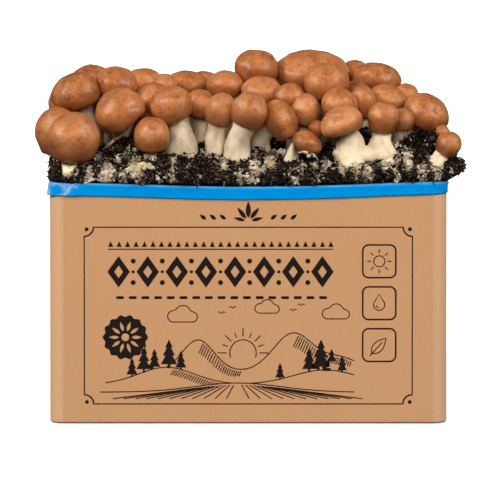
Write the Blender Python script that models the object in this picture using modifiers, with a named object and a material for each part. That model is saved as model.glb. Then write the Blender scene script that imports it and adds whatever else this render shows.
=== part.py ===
"""Chestnut mushroom grow kit: a kraft carton with a blue film collar, filled with casing soil,
and a clump of mushrooms growing out of it.

The origin is at the middle of the carton's underside, +Z is up, +X is to the viewer's right and
the front panel faces -Y. Sizes are in millimetres and are turned into metres by MM.
"""

import itertools
import math

import bmesh
import bpy
import numpy as np
from mathutils import Euler, Matrix, Quaternion, Vector, noise
from mathutils.bvhtree import BVHTree

MM = 0.001
GAP = 0.3
MERGE = 0.001
SHARP_ANGLE = math.radians(50.0)

# Carton: outer size of the panels, board and folded corners
CARTON_WIDTH = 300.0
CARTON_DEPTH = 200.0
CARTON_HEIGHT = 183.0
BOARD = 3.5
CORNER_RADIUS = 11.0
CORNER_STEPS = 3
FOOT_RADIUS = 1.5
FOOT_STEPS = 2
PANEL_CUTS = (-0.36, -0.18, 0.0, 0.18, 0.36)
FRONT_DIP = 3.0
BACK_DIP = 1.5
KRAFT = (0.58, 0.33, 0.16)
KRAFT_ROUGHNESS = 0.85

# Film folded over the rim
FILM = 0.8
COLLAR_OUTSIDE = 9.0
COLLAR_INSIDE = 9.0
HEM_DIP = 1.0
FILM_BLUE = (0.0, 0.27, 0.72)
FILM_ROUGHNESS = 0.3

# Casing soil
SOIL_CELLS = (30, 20)
SOIL_RISE = 18.0
SOIL_SLOPE_FRONT = 28.0
SOIL_SLOPE_SIDE = 7.0
SOIL_EDGE = 3.8
SOIL_EDGE_SHARE = 0.6
SOIL_LIP = 1.6
SOIL_BULGE = 1.0
SOIL_SPILL = 12.0
SOIL_SPILL_PLACE = -58.0
SOIL_SPILL_REACH = 46.0
# across, depth, how deep and how far round
SOIL_HOLLOWS = ((-132.0, -56.0, 10.0, 26.0), (136.0, -75.0, 12.5, 15.0))
SOIL_LUMP = 3.4
SOIL_LUMP_SIZE = 15.0
SOIL_CLEAR = 5.0
SOIL_CLEAR_FADE = 7.0
SOIL_WALL_GAP = 0.8
SOIL_TAPER = 1.5
SOIL_DARK = (0.035, 0.025, 0.02)
SOIL_ROUGHNESS = 0.95

# Mushrooms: the outline runs from the crown to the cap's edge, as shares of half width and height
CAP_PROFILE = ((0.53, 0.425), (0.89, 0.20), (1.0, -0.08), (0.83, -0.42))
NECK_HEIGHT = -0.52
STEM_SHARES = (0.22, 0.26)
STEM_WAIST = 0.96
STEM_PULL = 0.35
FOOT_AGAINST_LEAN = 0.25
CAP_BROWN = (0.48, 0.19, 0.07)
CAP_ROUGHNESS = 0.45

# Heights were read in a view that looks down by this angle
VIEW_TIP = math.radians(8.0)

SETTLE_ROUNDS = 60
SETTLE_SHARE = 0.25
SETTLE_REACH = 80.0
CAP_PRESS = 1.2
PRESS_ROUNDS = 8
SOLE_SAMPLES = (0.15, 0.3, 0.5, 0.7, 0.85)


class Mushroom:
    """One mushroom. across and depth place the cap's middle and seen is its height in the front
    view. lean tips the crown towards +X, in degrees. foot is where the stem stands, as (across,
    depth), and stem is its radius at the neck and at the foot."""

    def __init__(self, across, seen, depth, wide, tall, lean=0.0, foot=None, stem=None):
        self.across = across
        self.seen = seen
        self.depth = depth
        self.wide = wide
        self.tall = tall
        self.lean = lean
        self.given_foot = foot
        self.stem = stem or tuple(share * wide for share in STEM_SHARES)

    def height(self):
        """The cap's middle above the floor, on the sight line that seen was read along."""
        behind_front = self.depth + CARTON_DEPTH / 2
        return (self.seen - behind_front * math.sin(VIEW_TIP)) / math.cos(VIEW_TIP)

    def foot(self):
        """Where the stem stands: as given, or under the cap and a little against its lean."""
        return self.given_foot or (self.across - FOOT_AGAINST_LEAN * self.lean, self.depth)


# For each row: sides of its mushrooms, how far the crowns nod forwards, and the mushrooms
ROWS = {
    "front": (10, 12.0, [
        Mushroom(-132, 217.5, -74, 39.5, 36.5, 3, (-137.5, -93), (7.2, 5.0)),
        Mushroom(-73, 219, -72, 27.5, 25.5, 0, (-74, -70), (5.0, 4.5)),
        Mushroom(-20.5, 238, -56, 24, 25, 14, (-23.5, -49), (7.5, 8.5)),
        Mushroom(1.5, 237.5, -66, 27, 27.5, 20, (-9.5, -63), (8.6, 9.8)),
        Mushroom(25, 230.5, -60, 31.5, 22.5, 58, (9, -52), (8.0, 7.5)),
        Mushroom(45.5, 213, -80, 27, 18.5, 44, (37, -77), (5.5, 6.0)),
        Mushroom(70, 228, -70, 34, 21.5, -24, (77, -73), (8.8, 12.5)),
        Mushroom(102.5, 232, -66, 23.5, 24, 6, (101.5, -71), (7.4, 11.5)),
        Mushroom(152, 212, -71, 19.5, 17.5, 28, (141, -83), (6.0, 6.0)),
    ]),
    "second": (10, 9.0, [
        Mushroom(-144, 222.5, -44, 36, 36, -8, (-136, -42)),
        Mushroom(-97.5, 237.5, -52, 38, 32, -18, (-107, -50), (7.5, 8.0)),
        Mushroom(-78, 227, -38, 23, 17),
        Mushroom(-59, 242, -50, 33, 27, -22, (-50.5, -50), (9.0, 12.5)),
        Mushroom(32, 248.5, -36, 23.5, 19, 4, (34, -42), (4.2, 4.6)),
        Mushroom(44, 237.5, -46, 22.5, 24.5, 6),
        Mushroom(52, 223.5, -56, 13.5, 12.5),
        Mushroom(69, 243, -46, 28, 21.5, 4, (72, -42)),
        Mushroom(87, 244, -40, 20.5, 25.5, 0, (88, -38)),
        Mushroom(106, 247, -24, 28.5, 19.5, 14),
        Mushroom(116.5, 230.5, -44, 18.5, 17, 4, (115, -42), (5.0, 5.5)),
        Mushroom(136, 236.5, -40, 36, 25, 28, (126, -34), (7.5, 7.5)),
        Mushroom(147, 221, -46, 12.5, 11),
    ]),
    "middle": (9, 5.0, [
        Mushroom(-132, 251.5, -30, 37.5, 28, -24, (-118, -24), (7.5, 8.0)),
        Mushroom(-138, 245, -2, 31, 27, -14, (-128, -4)),
        Mushroom(-118, 257, -4, 24.5, 22.5, -6),
        Mushroom(-100, 258.7, -6, 32.5, 23, 12),
        Mushroom(-73, 246.5, -20, 28, 24),
        Mushroom(-36.5, 242.5, -24, 23.5, 22, 4, (-36, -22), (6.5, 7.0)),
        Mushroom(-17.5, 258, -4, 28, 20.5),
        Mushroom(10.5, 252.5, -14, 31, 21.5, 6),
        Mushroom(59.5, 259.5, -14, 35.5, 28.5, -4),
        Mushroom(83, 252, -8, 20, 18),
        Mushroom(120, 249, -8, 20, 18.5, 20),
    ]),
    "crown": (9, 0.0, [
        Mushroom(-121, 260.5, 22, 35, 24, -14),
        Mushroom(-81, 260, 20, 31, 20.5),
        Mushroom(-63, 257, 2, 19, 17),
        Mushroom(-46.5, 257.8, 12, 34, 20.5),
        Mushroom(-33, 261, 36, 21, 15),
        Mushroom(6, 270.5, 14, 34, 27.5),
        Mushroom(24, 266.5, 34, 17, 14),
        Mushroom(48, 268.5, 20, 58.5, 30.5),
        Mushroom(82, 268, 28, 23, 18),
        Mushroom(98.5, 263, 4, 37, 23, 8),
    ]),
    "rear": (8, -12.0, [
        Mushroom(-130, 245, 44, 34, 27, -14),
        Mushroom(-96, 249, 52, 36, 26, -4),
        Mushroom(-124, 240, 78, 36, 26, -12),
        Mushroom(-60, 248, 46, 32, 26, 4),
        Mushroom(-80, 241, 80, 38, 27),
        Mushroom(-34, 246, 68, 40, 28, -5),
        Mushroom(-6, 245, 44, 27, 23),
        Mushroom(10, 240, 78, 34, 26, 8),
        Mushroom(45, 244, 70, 38, 27),
        Mushroom(80, 240, 78, 34, 25, 6),
        Mushroom(67, 241, 50, 22, 19),
        Mushroom(113, 238, 40, 32, 22, 14),
        Mushroom(116, 237, 73, 31, 22, 12),
    ]),
}


def clear_scene():
    """Takes away whatever the new file opened with."""
    for obj in list(bpy.data.objects):
        bpy.data.objects.remove(obj, do_unlink=True)


def make_material(name, color, roughness):
    """A plain shader in the piece's own colour."""
    material = bpy.data.materials.new(name)
    material.use_nodes = True
    shader = material.node_tree.nodes["Principled BSDF"]
    shader.inputs["Base Color"].default_value = (*color, 1.0)
    shader.inputs["Roughness"].default_value = roughness
    material.diffuse_color = (*color, 1.0)
    return material


def add_object(name, shape, collection, material):
    """Puts a bmesh that was drawn in millimetres into the collection in metres."""
    bmesh.ops.recalc_face_normals(shape, faces=shape.faces)
    bmesh.ops.scale(shape, vec=(MM, MM, MM), verts=shape.verts)
    mesh = bpy.data.meshes.new(name)
    shape.to_mesh(mesh)
    shape.free()
    mesh.materials.append(material)
    mesh.shade_smooth()
    mesh.set_sharp_from_angle(angle=SHARP_ANGLE)
    obj = bpy.data.objects.new(name, mesh)
    collection.objects.link(obj)
    return obj


def clamp(value, limit):
    return max(-limit, min(limit, value))


def core_point(point, width, depth, radius):
    """The nearest point of the rectangle that a rounded rectangle is drawn round."""
    return Vector((clamp(point.x, width / 2 - radius), clamp(point.y, depth / 2 - radius), point.z))


def inset(point, distance, width, depth, radius):
    """The point moved straight in from a rounded rectangle's edge by the distance."""
    core = core_point(point, width, depth, radius)
    return point + (core - point).normalized() * distance


def panel_dip(x, y):
    """How far the rim sags in the middle of the front and of the back panel."""
    towards_back = 0.5 + clamp(y / CARTON_DEPTH, 0.5)
    deepest = FRONT_DIP + (BACK_DIP - FRONT_DIP) * towards_back
    return deepest * math.cos(math.pi * clamp(x / CARTON_WIDTH, 0.5)) ** 2


def rounded_box(width, depth, low, high, radius):
    """A box with its four upright edges rounded and cuts across its long panels."""
    shape = bmesh.new()
    place = Matrix.Translation((0, 0, (low + high) / 2)) @ Matrix.Diagonal((width, depth, high - low, 1))
    bmesh.ops.create_cube(shape, size=1, matrix=place)
    upright = [e for e in shape.edges if abs(e.verts[0].co.z - e.verts[1].co.z) > 1]
    bmesh.ops.bevel(
        shape, geom=upright, offset=radius, segments=CORNER_STEPS, profile=0.5, affect="EDGES"
    )
    for share in PANEL_CUTS:
        everything = shape.verts[:] + shape.edges[:] + shape.faces[:]
        bmesh.ops.bisect_plane(shape, geom=everything, plane_co=(share * width, 0, 0), plane_no=(1, 0, 0))
    return shape


def faces_at(shape, height):
    """The faces that lie flat at the height."""
    return [f for f in shape.faces if all(abs(v.co.z - height) < MERGE for v in f.verts)]


def grow_edge(shape, edges):
    """Extrudes an open edge loop and gives back the new loop, with its points."""
    grown = bmesh.ops.extrude_edge_only(shape, edges=edges)["geom"]
    points = [v for v in grown if isinstance(v, bmesh.types.BMVert)]
    fresh = set(points)
    loop = [e for e in grown if isinstance(e, bmesh.types.BMEdge) and set(e.verts) <= fresh]
    return loop, points


def build_carton(collection):
    """Four panels and a bottom from one board, open at the top."""
    shape = rounded_box(CARTON_WIDTH, CARTON_DEPTH, 0, CARTON_HEIGHT, CORNER_RADIUS)
    bmesh.ops.delete(shape, geom=faces_at(shape, CARTON_HEIGHT), context="FACES")
    bottom = bmesh.ops.dissolve_faces(shape, faces=faces_at(shape, 0))["region"][0]
    bmesh.ops.bevel(
        shape, geom=bottom.edges[:], offset=FOOT_RADIUS, segments=FOOT_STEPS, profile=0.5, affect="EDGES"
    )
    for vert in shape.verts:
        if vert.co.z > CARTON_HEIGHT - MERGE:
            vert.co.z -= panel_dip(vert.co.x, vert.co.y)
    carton = add_object("carton", shape, collection, make_material("kraft_board", KRAFT, KRAFT_ROUGHNESS))
    board = carton.modifiers.new("board", "SOLIDIFY")
    board.thickness = BOARD * MM
    board.offset = -1
    board.use_even_offset = True
    return carton


def build_collar(collection):
    """Film that runs up the outside, over the rim and a little way down the inside."""
    width = CARTON_WIDTH + 2 * GAP
    depth = CARTON_DEPTH + 2 * GAP
    radius = CORNER_RADIUS + GAP
    top = CARTON_HEIGHT + GAP
    hem = top - COLLAR_OUTSIDE
    shape = rounded_box(width, depth, hem, top, radius)
    bmesh.ops.delete(shape, geom=faces_at(shape, hem) + faces_at(shape, top), context="FACES")
    edge = [e for e in shape.edges if all(v.co.z > top - MERGE for v in e.verts)]
    for vert in shape.verts:
        reach = 1 if vert.co.z > top - MERGE else HEM_DIP
        vert.co.z -= reach * panel_dip(vert.co.x, vert.co.y)
    for inwards, down in ((BOARD + 2 * GAP, 0.0), (0.0, COLLAR_INSIDE)):
        edge, points = grow_edge(shape, edge)
        for vert in points:
            vert.co = inset(vert.co, inwards, width, depth, radius)
            vert.co.z -= down
    blue = make_material("blue_film", FILM_BLUE, FILM_ROUGHNESS)
    collar = add_object("liner_collar", shape, collection, blue)
    film = collar.modifiers.new("film", "SOLIDIFY")
    film.thickness = FILM * MM
    film.offset = 1
    film.use_even_offset = True
    return collar


def film_top(x, y):
    return CARTON_HEIGHT + GAP + FILM - panel_dip(x, y)


def mound(x, y):
    """The soil's smooth top: it climbs gently from the front and back edge and steeply from the
    sides, and it is hollow at the left corner's big caps and at the right corner's small one."""
    from_side = max(0.0, CARTON_WIDTH / 2 - abs(x))
    from_front = max(0.0, CARTON_DEPTH / 2 - abs(y))
    side_share = 1 - math.exp(-from_side / SOIL_SLOPE_SIDE)
    front_share = 1 - math.exp(-from_front / SOIL_SLOPE_FRONT)
    hollow = sum(
        deep * math.exp(-((math.dist((x, y), place) / reach) ** 2)) for *place, deep, reach in SOIL_HOLLOWS
    )
    edge = SOIL_EDGE + SOIL_EDGE_SHARE * spill(x, y)
    return film_top(x, y) + edge + (SOIL_RISE - hollow) * side_share * front_share


def spill(x, y):
    """How far the soil hangs out over the rim, on the right-hand side."""
    share = math.exp(-(((y - SOIL_SPILL_PLACE) / SOIL_SPILL_REACH) ** 2))
    return SOIL_SPILL * share * max(0.0, x / (CARTON_WIDTH / 2)) ** 3


def soil_shape(mushrooms):
    """One block of soil: a body inside the carton, an edge that lies over the film, and a lumpy top."""
    shape = bmesh.new()
    bmesh.ops.create_grid(shape, x_segments=SOIL_CELLS[0], y_segments=SOIL_CELLS[1], size=0.5)
    top = shape.verts[:]
    for vert in top:
        flat = Vector((vert.co.x * CARTON_WIDTH, vert.co.y * CARTON_DEPTH, 0))
        core = core_point(flat, CARTON_WIDTH, CARTON_DEPTH, CORNER_RADIUS)
        out = flat - core
        vert.co = core + out.normalized() * min(out.length, CORNER_RADIUS)
    edge, lip = grow_edge(shape, [e for e in shape.edges if e.is_boundary])
    edge, ledge = grow_edge(shape, edge)
    inside = BOARD + 2 * GAP + FILM + SOIL_WALL_GAP
    for vert in lip:
        x, y = vert.co.x, vert.co.y
        vert.co = inset(vert.co, -SOIL_BULGE, CARTON_WIDTH, CARTON_DEPTH, CORNER_RADIUS)
        vert.co.x += spill(x, y)
        vert.co.z = film_top(x, y) + SOIL_LIP
    for vert in ledge:
        height = film_top(vert.co.x, vert.co.y) + 2 * GAP
        vert.co = inset(vert.co, inside, CARTON_WIDTH, CARTON_DEPTH, CORNER_RADIUS)
        vert.co.z = height
    edge, bottom = grow_edge(shape, edge)
    for vert in bottom:
        vert.co.z = 0
        vert.co = inset(
            vert.co,
            SOIL_TAPER,
            CARTON_WIDTH - 2 * inside,
            CARTON_DEPTH - 2 * inside,
            CORNER_RADIUS - inside,
        )
        vert.co.z = BOARD + GAP
    bmesh.ops.holes_fill(shape, edges=edge, sides=0)
    for vert in top:
        x, y = vert.co.x, vert.co.y
        place = (x + spill(x, y), y)
        clear = min(math.dist(m.foot(), place) - m.stem[1] for m in mushrooms)
        freedom = max(0.0, min(1.0, (clear - SOIL_CLEAR) / SOIL_CLEAR_FADE))
        lump = noise.noise(Vector((x, y, 0)) / SOIL_LUMP_SIZE)
        vert.co = Vector((*place, mound(x, y) + SOIL_LUMP * lump * freedom))
    bmesh.ops.recalc_face_normals(shape, faces=shape.faces)
    return shape


def ground(surface, x, y):
    """Height of the soil's top at a place."""
    return surface.ray_cast(Vector((x, y, 2 * CARTON_HEIGHT)), Vector((0, 0, -1)))[0].z


def settle_in_depth(mushrooms):
    """Caps that would grow into each other make room along the sight line, so that they keep their
    place in the front view."""
    for _ in range(SETTLE_ROUNDS):
        for one, other in itertools.combinations(mushrooms, 2):
            reach = (one.wide + other.wide) / 2
            rise = (one.tall + other.tall) / 2
            across = (other.across - one.across) / reach
            along = (other.depth - one.depth) / reach
            up = (other.height() - one.height()) / rise
            share = math.sqrt(across**2 + along**2 + up**2)
            if share >= 1 - CAP_PRESS / reach:
                continue
            step = SETTLE_SHARE * (1 - share) * reach * (1 if along >= 0 else -1)
            other.depth = clamp(other.depth + step, SETTLE_REACH)
            one.depth = clamp(one.depth - step, SETTLE_REACH)


def turned_upright(mushroom, sides):
    """The mushroom standing straight: its outline spun round Z. The cap is in millimetres round its
    own middle, and the stem below the neck is one unit long, to be stretched when it is bent."""
    neck = NECK_HEIGHT * mushroom.tall
    waist = STEM_WAIST * sum(mushroom.stem) / 2
    outline = [(0, 0.5 * mushroom.tall)]
    outline += [(r * mushroom.wide / 2, z * mushroom.tall) for r, z in CAP_PROFILE]
    outline += [(mushroom.stem[0], neck), (waist, neck - 0.5), (mushroom.stem[1], neck - 1), (0, neck - 1)]
    shape = bmesh.new()
    verts = [shape.verts.new((radius, 0, height)) for radius, height in outline]
    edges = [shape.edges.new(pair) for pair in zip(verts, verts[1:])]
    bmesh.ops.spin(
        shape, geom=verts + edges, cent=(0, 0, 0), axis=(0, 0, 1), angle=math.tau, steps=sides
    )
    bmesh.ops.remove_doubles(shape, verts=shape.verts, dist=MERGE)
    return shape


def bend(mushroom, shape, nod, surface):
    """Tips the cap and curves the stem from the neck down to the foot. It sets the groups of points
    that each make a convex piece: the cap, and the stem's upper and lower half."""
    middle = Vector((mushroom.across, mushroom.depth, mushroom.height()))
    turn = Euler((math.radians(nod), math.radians(mushroom.lean), 0)).to_matrix()
    neck_height = NECK_HEIGHT * mushroom.tall
    neck = middle + turn @ Vector((0, 0, neck_height))
    foot = Vector((*mushroom.foot(), ground(surface, *mushroom.foot())))
    pull = STEM_PULL * (neck - foot).length
    controls = (neck, neck - turn @ Vector((0, 0, pull)), foot + Vector((0, 0, pull)), foot)
    groups = ([], [], [])
    feet = []
    for index, vert in enumerate(shape.verts):
        share = min(1.0, neck_height - vert.co.z)
        if share < MERGE:
            groups[0].append(index)
            if share > -MERGE:
                groups[1].append(index)
            vert.co = middle + turn @ vert.co
            continue
        weights = ((1 - share) ** 3, 3 * share * (1 - share) ** 2, 3 * share**2 * (1 - share), share**3)
        centre = sum((w * c for w, c in zip(weights, controls)), Vector())
        level = turn.to_quaternion().slerp(Quaternion(), share)
        vert.co = centre + level @ Vector((vert.co.x, vert.co.y, 0))
        groups[2].append(index)
        if share < 1 - MERGE:
            groups[1].append(index)
        else:
            feet.append(index)
    mushroom.points = np.array([v.co[:] for v in shape.verts])
    mushroom.groups = [np.array(group) for group in groups]
    mushroom.feet = feet
    mushroom.shape = shape


def stand_on_ground(mushroom, surface):
    """Sets the sole of the stem just above the soil, clear of any ridge between its points."""
    sole = mushroom.points[mushroom.feet]
    for point in sole:
        point[2] = ground(surface, point[0], point[1]) + GAP
    lift = 0.0
    for one, other in itertools.combinations(sole, 2):
        for share in SOLE_SAMPLES:
            x, y, z = one + share * (other - one)
            lift = max(lift, ground(surface, x, y) + GAP - z)
    sole[:, 2] += lift
    mushroom.points[mushroom.feet] = sole


def all_directions():
    """Directions spread evenly round a sphere."""
    ball = bmesh.new()
    bmesh.ops.create_icosphere(ball, subdivisions=4, radius=1)
    directions = np.array([v.co.normalized()[:] for v in ball.verts])
    ball.free()
    return directions


def press(one, other, part, other_part, directions):
    """Where two convex pieces meet, both are flattened against the plane that parts them best."""
    near = one.points[part] @ directions.T
    far = other.points[other_part] @ directions.T
    overlap = near.max(axis=0) - far.min(axis=0) + GAP
    best = int(overlap.argmin())
    if overlap[best] <= 0:
        return 0.0
    plane = (near[:, best].max() + far[:, best].min()) / 2
    too_far = np.maximum(near[:, best] - (plane - GAP / 2), 0)
    too_near = np.minimum(far[:, best] - (plane + GAP / 2), 0)
    one.points[part] -= too_far[:, None] * directions[best]
    other.points[other_part] -= too_near[:, None] * directions[best]
    return float(overlap[best])


def press_together(mushrooms, surface):
    """Neighbours that grew against each other get flats where they touch."""
    directions = all_directions()
    for _ in range(PRESS_ROUNDS):
        for one, other in itertools.combinations(mushrooms, 2):
            low = np.maximum(one.points.min(axis=0), other.points.min(axis=0))
            high = np.minimum(one.points.max(axis=0), other.points.max(axis=0))
            if (high + GAP < low).any():
                continue
            for part, other_part in itertools.product(one.groups, other.groups):
                press(one, other, part, other_part, directions)
        for mushroom in mushrooms:
            stand_on_ground(mushroom, surface)


def build_mushrooms(collection, mushrooms, surface):
    """Every mushroom of every row, each one piece from crown to foot."""
    for sides, nod, row in ROWS.values():
        for mushroom in row:
            bend(mushroom, turned_upright(mushroom, sides), nod, surface)
            stand_on_ground(mushroom, surface)
    press_together(mushrooms, surface)
    for name, (_, _, row) in ROWS.items():
        for number, mushroom in enumerate(row, 1):
            for vert, point in zip(mushroom.shape.verts, mushroom.points):
                vert.co = point
            title = f"mushroom_{name}_{number:02d}"
            skin = make_material(title, CAP_BROWN, CAP_ROUGHNESS)
            add_object(title, mushroom.shape, collection, skin)


def main():
    clear_scene()
    collection = bpy.data.collections.new("chestnut_mushroom_grow_kit")
    bpy.context.scene.collection.children.link(collection)
    build_carton(collection)
    build_collar(collection)
    mushrooms = [mushroom for _, _, row in ROWS.values() for mushroom in row]
    settle_in_depth(mushrooms)
    soil = soil_shape(mushrooms)
    surface = BVHTree.FromBMesh(soil)
    build_mushrooms(collection, mushrooms, surface)
    dark = make_material("casing_soil", SOIL_DARK, SOIL_ROUGHNESS)
    add_object("casing_soil", soil, collection, dark)


main()
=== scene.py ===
# %% [markdown]
# # A chestnut mushroom grow kit
#
# A kraft carton holds compost under a layer of dark casing soil. A strip of blue film is folded over the
# carton's rim. White mycelium runs through the soil, and a crowd of brown mushrooms grows out of it.
#
# Every cell after that makes one piece or one finish on top of the solid that carries it, in the same place
# and at the same size.

# %% Load the frame
import math
import random

import bpy
import numpy as np
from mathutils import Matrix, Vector, noise
from mathutils.bvhtree import BVHTree


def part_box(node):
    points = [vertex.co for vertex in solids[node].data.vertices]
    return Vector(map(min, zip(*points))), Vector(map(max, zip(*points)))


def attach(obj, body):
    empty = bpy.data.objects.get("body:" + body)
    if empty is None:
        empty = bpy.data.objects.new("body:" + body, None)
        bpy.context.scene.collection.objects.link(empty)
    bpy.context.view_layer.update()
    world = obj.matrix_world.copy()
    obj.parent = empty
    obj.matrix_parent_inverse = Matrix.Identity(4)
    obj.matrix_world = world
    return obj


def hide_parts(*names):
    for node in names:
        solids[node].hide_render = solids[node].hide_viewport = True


MM = 0.001
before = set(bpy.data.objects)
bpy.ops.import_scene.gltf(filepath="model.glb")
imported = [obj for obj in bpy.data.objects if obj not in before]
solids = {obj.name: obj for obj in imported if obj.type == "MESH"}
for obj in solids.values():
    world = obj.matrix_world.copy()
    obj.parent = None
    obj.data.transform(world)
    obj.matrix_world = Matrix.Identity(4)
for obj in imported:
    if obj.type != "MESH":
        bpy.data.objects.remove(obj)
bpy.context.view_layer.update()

# %% [markdown]
# ## Hand tools
#
# Blender's operators act on whatever is selected, so each helper starts by deselecting everything. `choose`
# opens a piece in edit mode with just the points, edges or faces that a test says yes to, `edit` runs one
# operator on them, and `finish_piece` gives a piece its material and hangs it on the frame.

# %% Selecting and applying
ELEMENTS = {"VERT": "vertices", "EDGE": "edges", "FACE": "polygons"}


def pick(piece):
    """Makes the piece the only selected object, and the active one."""
    bpy.ops.object.select_all(action="DESELECT")
    piece.select_set(True)
    bpy.context.view_layer.objects.active = piece
    return piece


def choose(piece, kind="VERT", wanted=lambda element: True):
    """Opens the piece in edit mode with the elements selected that wanted says yes to, or all its points."""
    pick(piece)
    bpy.ops.object.mode_set(mode="EDIT")
    bpy.ops.mesh.select_mode(type=kind)
    bpy.ops.mesh.select_all(action="DESELECT")
    bpy.ops.object.mode_set(mode="OBJECT")
    for element in getattr(piece.data, ELEMENTS[kind]):
        element.select = wanted(element)
    bpy.ops.object.mode_set(mode="EDIT")


def close_edit():
    bpy.ops.object.mode_set(mode="OBJECT")


def edit(operator, *chosen, **settings):
    """Runs one mesh operator on what choose selects."""
    choose(*chosen)
    operator(**settings)
    close_edit()


def apply_modifier(piece, kind, **settings):
    """Adds a modifier, sets it and applies it."""
    modifier = piece.modifiers.new(kind.lower(), kind)
    for name, value in settings.items():
        setattr(modifier, name, value)
    pick(piece)
    bpy.ops.object.modifier_apply(modifier=modifier.name)


def read(data, name, width=3, kind=float):
    """An array with a row for each element of the data."""
    flat = np.empty(len(data) * width, dtype=kind)
    data.foreach_get(name, flat)
    return flat.reshape(-1, width)


def points_of(mesh):
    return read(mesh.vertices, "co")


def normals_of(mesh):
    return read(mesh.vertex_normals, "vector")


def set_points(mesh, points):
    mesh.vertices.foreach_set("co", np.ascontiguousarray(points, dtype=float).ravel())
    mesh.update()


def paint(mesh, name, values):
    """Stores a number or a vector a point, or one number for all of them, for a material to read."""
    wide = np.ndim(values) == 2
    layer = mesh.attributes.new(name, "FLOAT_VECTOR" if wide else "FLOAT", "POINT")
    shape = (len(mesh.vertices), 3) if wide else len(mesh.vertices)
    layer.data.foreach_set("vector" if wide else "value", np.full(shape, values, dtype=np.float32).ravel())


def painted(mesh, name):
    """The numbers that paint stored."""
    return read(mesh.attributes[name].data, "value", 1, np.float32)[:, 0]


def surface_of(mesh):
    """The mesh as a surface that a line can be cast at."""
    return BVHTree.FromPolygons([v.co for v in mesh.vertices], [face.vertices for face in mesh.polygons])


def link_piece(name, data):
    piece = bpy.data.objects.new(name, data)
    bpy.context.scene.collection.objects.link(piece)
    return piece


def piece_of(name, points, faces):
    """A new piece from an array of points and a list of faces."""
    mesh = bpy.data.meshes.new(name)
    mesh.from_pydata(np.asarray(points).tolist(), [], faces)
    return link_piece(name, mesh)


def finish_piece(piece, material, slot, *stands_for, smooth=True):
    piece.data.materials.clear()
    piece.data.materials.append(material)
    if smooth:
        piece.data.shade_smooth()
    else:
        piece.data.shade_flat()
    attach(piece, "root")
    if stands_for:
        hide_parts(*stands_for)
    triangles = sum(len(face.vertices) - 2 for face in piece.data.polygons)
    print(f"{piece.name}: {triangles} triangles")


# %% Numbers and noise
def unit(values):
    """The values held between nought and one."""
    return np.clip(values, 0.0, 1.0)


def noise_at(points, size):
    """Soft noise at each point, with blobs of a size in metres."""
    return np.array([noise.noise(Vector(point) / size) for point in points])


def fractal_at(points, size, fall=1.0, octaves=3):
    """Noise with finer noise on top of it."""
    return np.array([noise.fractal(Vector(point) / size, fall, 2.0, octaves) for point in points])


def noise_texture(name, kind, size, **settings):
    texture = bpy.data.textures.new(name, kind)
    texture.noise_scale = size
    for setting, value in settings.items():
        setattr(texture, setting, value)
    return texture


# %% Copying a solid
MERGE = 0.01 * MM


def copy_of(node, name):
    """A copy of a solid's mesh as an object of its own, with its loose triangles joined up."""
    piece = pick(link_piece(name, solids[node].data.copy()))
    bpy.ops.mesh.customdata_custom_splitnormals_clear()
    edit(bpy.ops.mesh.remove_doubles, piece, threshold=MERGE)
    while piece.data.uv_layers:
        piece.data.uv_layers.remove(piece.data.uv_layers[0])
    return piece


# %% [markdown]
# ## The view
#
# The picture looks along +Y and down by eight degrees, from far away, so that depth hardly changes a size.
# Then a pixel of the 500 pixel picture is the same length everywhere, and a sight line through it is easy to
# write down. The soil's pale patches and the dents in the caps are placed along such sight lines.

# %% Sight lines and camera
PICTURE = 500
PIXEL = 0.757 * MM
MIDDLE_COLUMN = 248.3
FLOOR_ROW = 423.5
FRONT_DEPTH = -0.1
VIEW_TIP = math.radians(8.0)
VIEW_DISTANCE = 10.0
SENSOR = 36.0
looking = Vector((0, math.cos(VIEW_TIP), -math.sin(VIEW_TIP)))
view_up = Vector((0, math.sin(VIEW_TIP), math.cos(VIEW_TIP)))
# The same two ways as arrays, for sums over many points at once
INTO_VIEW = np.array(looking)
UP_VIEW = np.array(view_up)


def sight_point(column, row):
    """The point behind a pixel, on the plane across the view through the carton's front foot."""
    foot = Vector(((column - MIDDLE_COLUMN) * PIXEL, FRONT_DEPTH, 0))
    return foot + (FLOOR_ROW - row) * PIXEL * view_up


def point_at_depth(column, row, depth):
    """The point behind a pixel at a depth along +Y, in millimetres."""
    foot = sight_point(column, row)
    return foot + looking * ((depth * MM - foot.y) / looking.y)


def pixels_of(points):
    """The pixel column and row that each point shows at."""
    foot = np.array(sight_point(MIDDLE_COLUMN, FLOOR_ROW))
    return points[:, 0] / PIXEL + MIDDLE_COLUMN, FLOOR_ROW - (points - foot) @ UP_VIEW / PIXEL


def hit(surface, column, row):
    """Where the sight line through a pixel meets a surface, and the surface's normal there."""
    place, normal, _, _ = surface.ray_cast(sight_point(column, row) - looking, looking)
    return place, normal


middle = sight_point(PICTURE / 2, PICTURE / 2)
bpy.ops.object.camera_add(location=middle - VIEW_DISTANCE * looking)
camera = bpy.context.object
camera.name = "studio_camera"
camera.rotation_euler = looking.to_track_quat("-Z", "Y").to_euler()
camera.data.sensor_width = SENSOR
camera.data.lens = SENSOR * VIEW_DISTANCE / (PICTURE * PIXEL)
camera.data.clip_end = 10 * VIEW_DISTANCE
bpy.context.scene.camera = camera
print(f"camera at {tuple(round(v, 3) for v in camera.location)}, lens {camera.data.lens:.0f} mm")

# %% [markdown]
# ## Mixing finishes
#
# Each material is a small graph of nodes. `add_node` adds one node, plugs in what it is given and hands back
# its output, so that a graph reads from top to bottom like a recipe. An output knows the graph that it is in,
# as its `id_data`.

# %% Material helpers
def new_finish(name, roughness, **shader_values):
    """A material with its Principled shader, whose plain values are set on the shader itself."""
    finish = bpy.data.materials.new(name)
    finish.use_nodes = True
    shader = finish.node_tree.nodes["Principled BSDF"]
    shader.inputs["Roughness"].default_value = roughness
    for socket, value in shader_values.items():
        shader.inputs[socket.replace("_", " ")].default_value = value
    return finish, finish.node_tree, shader


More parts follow.
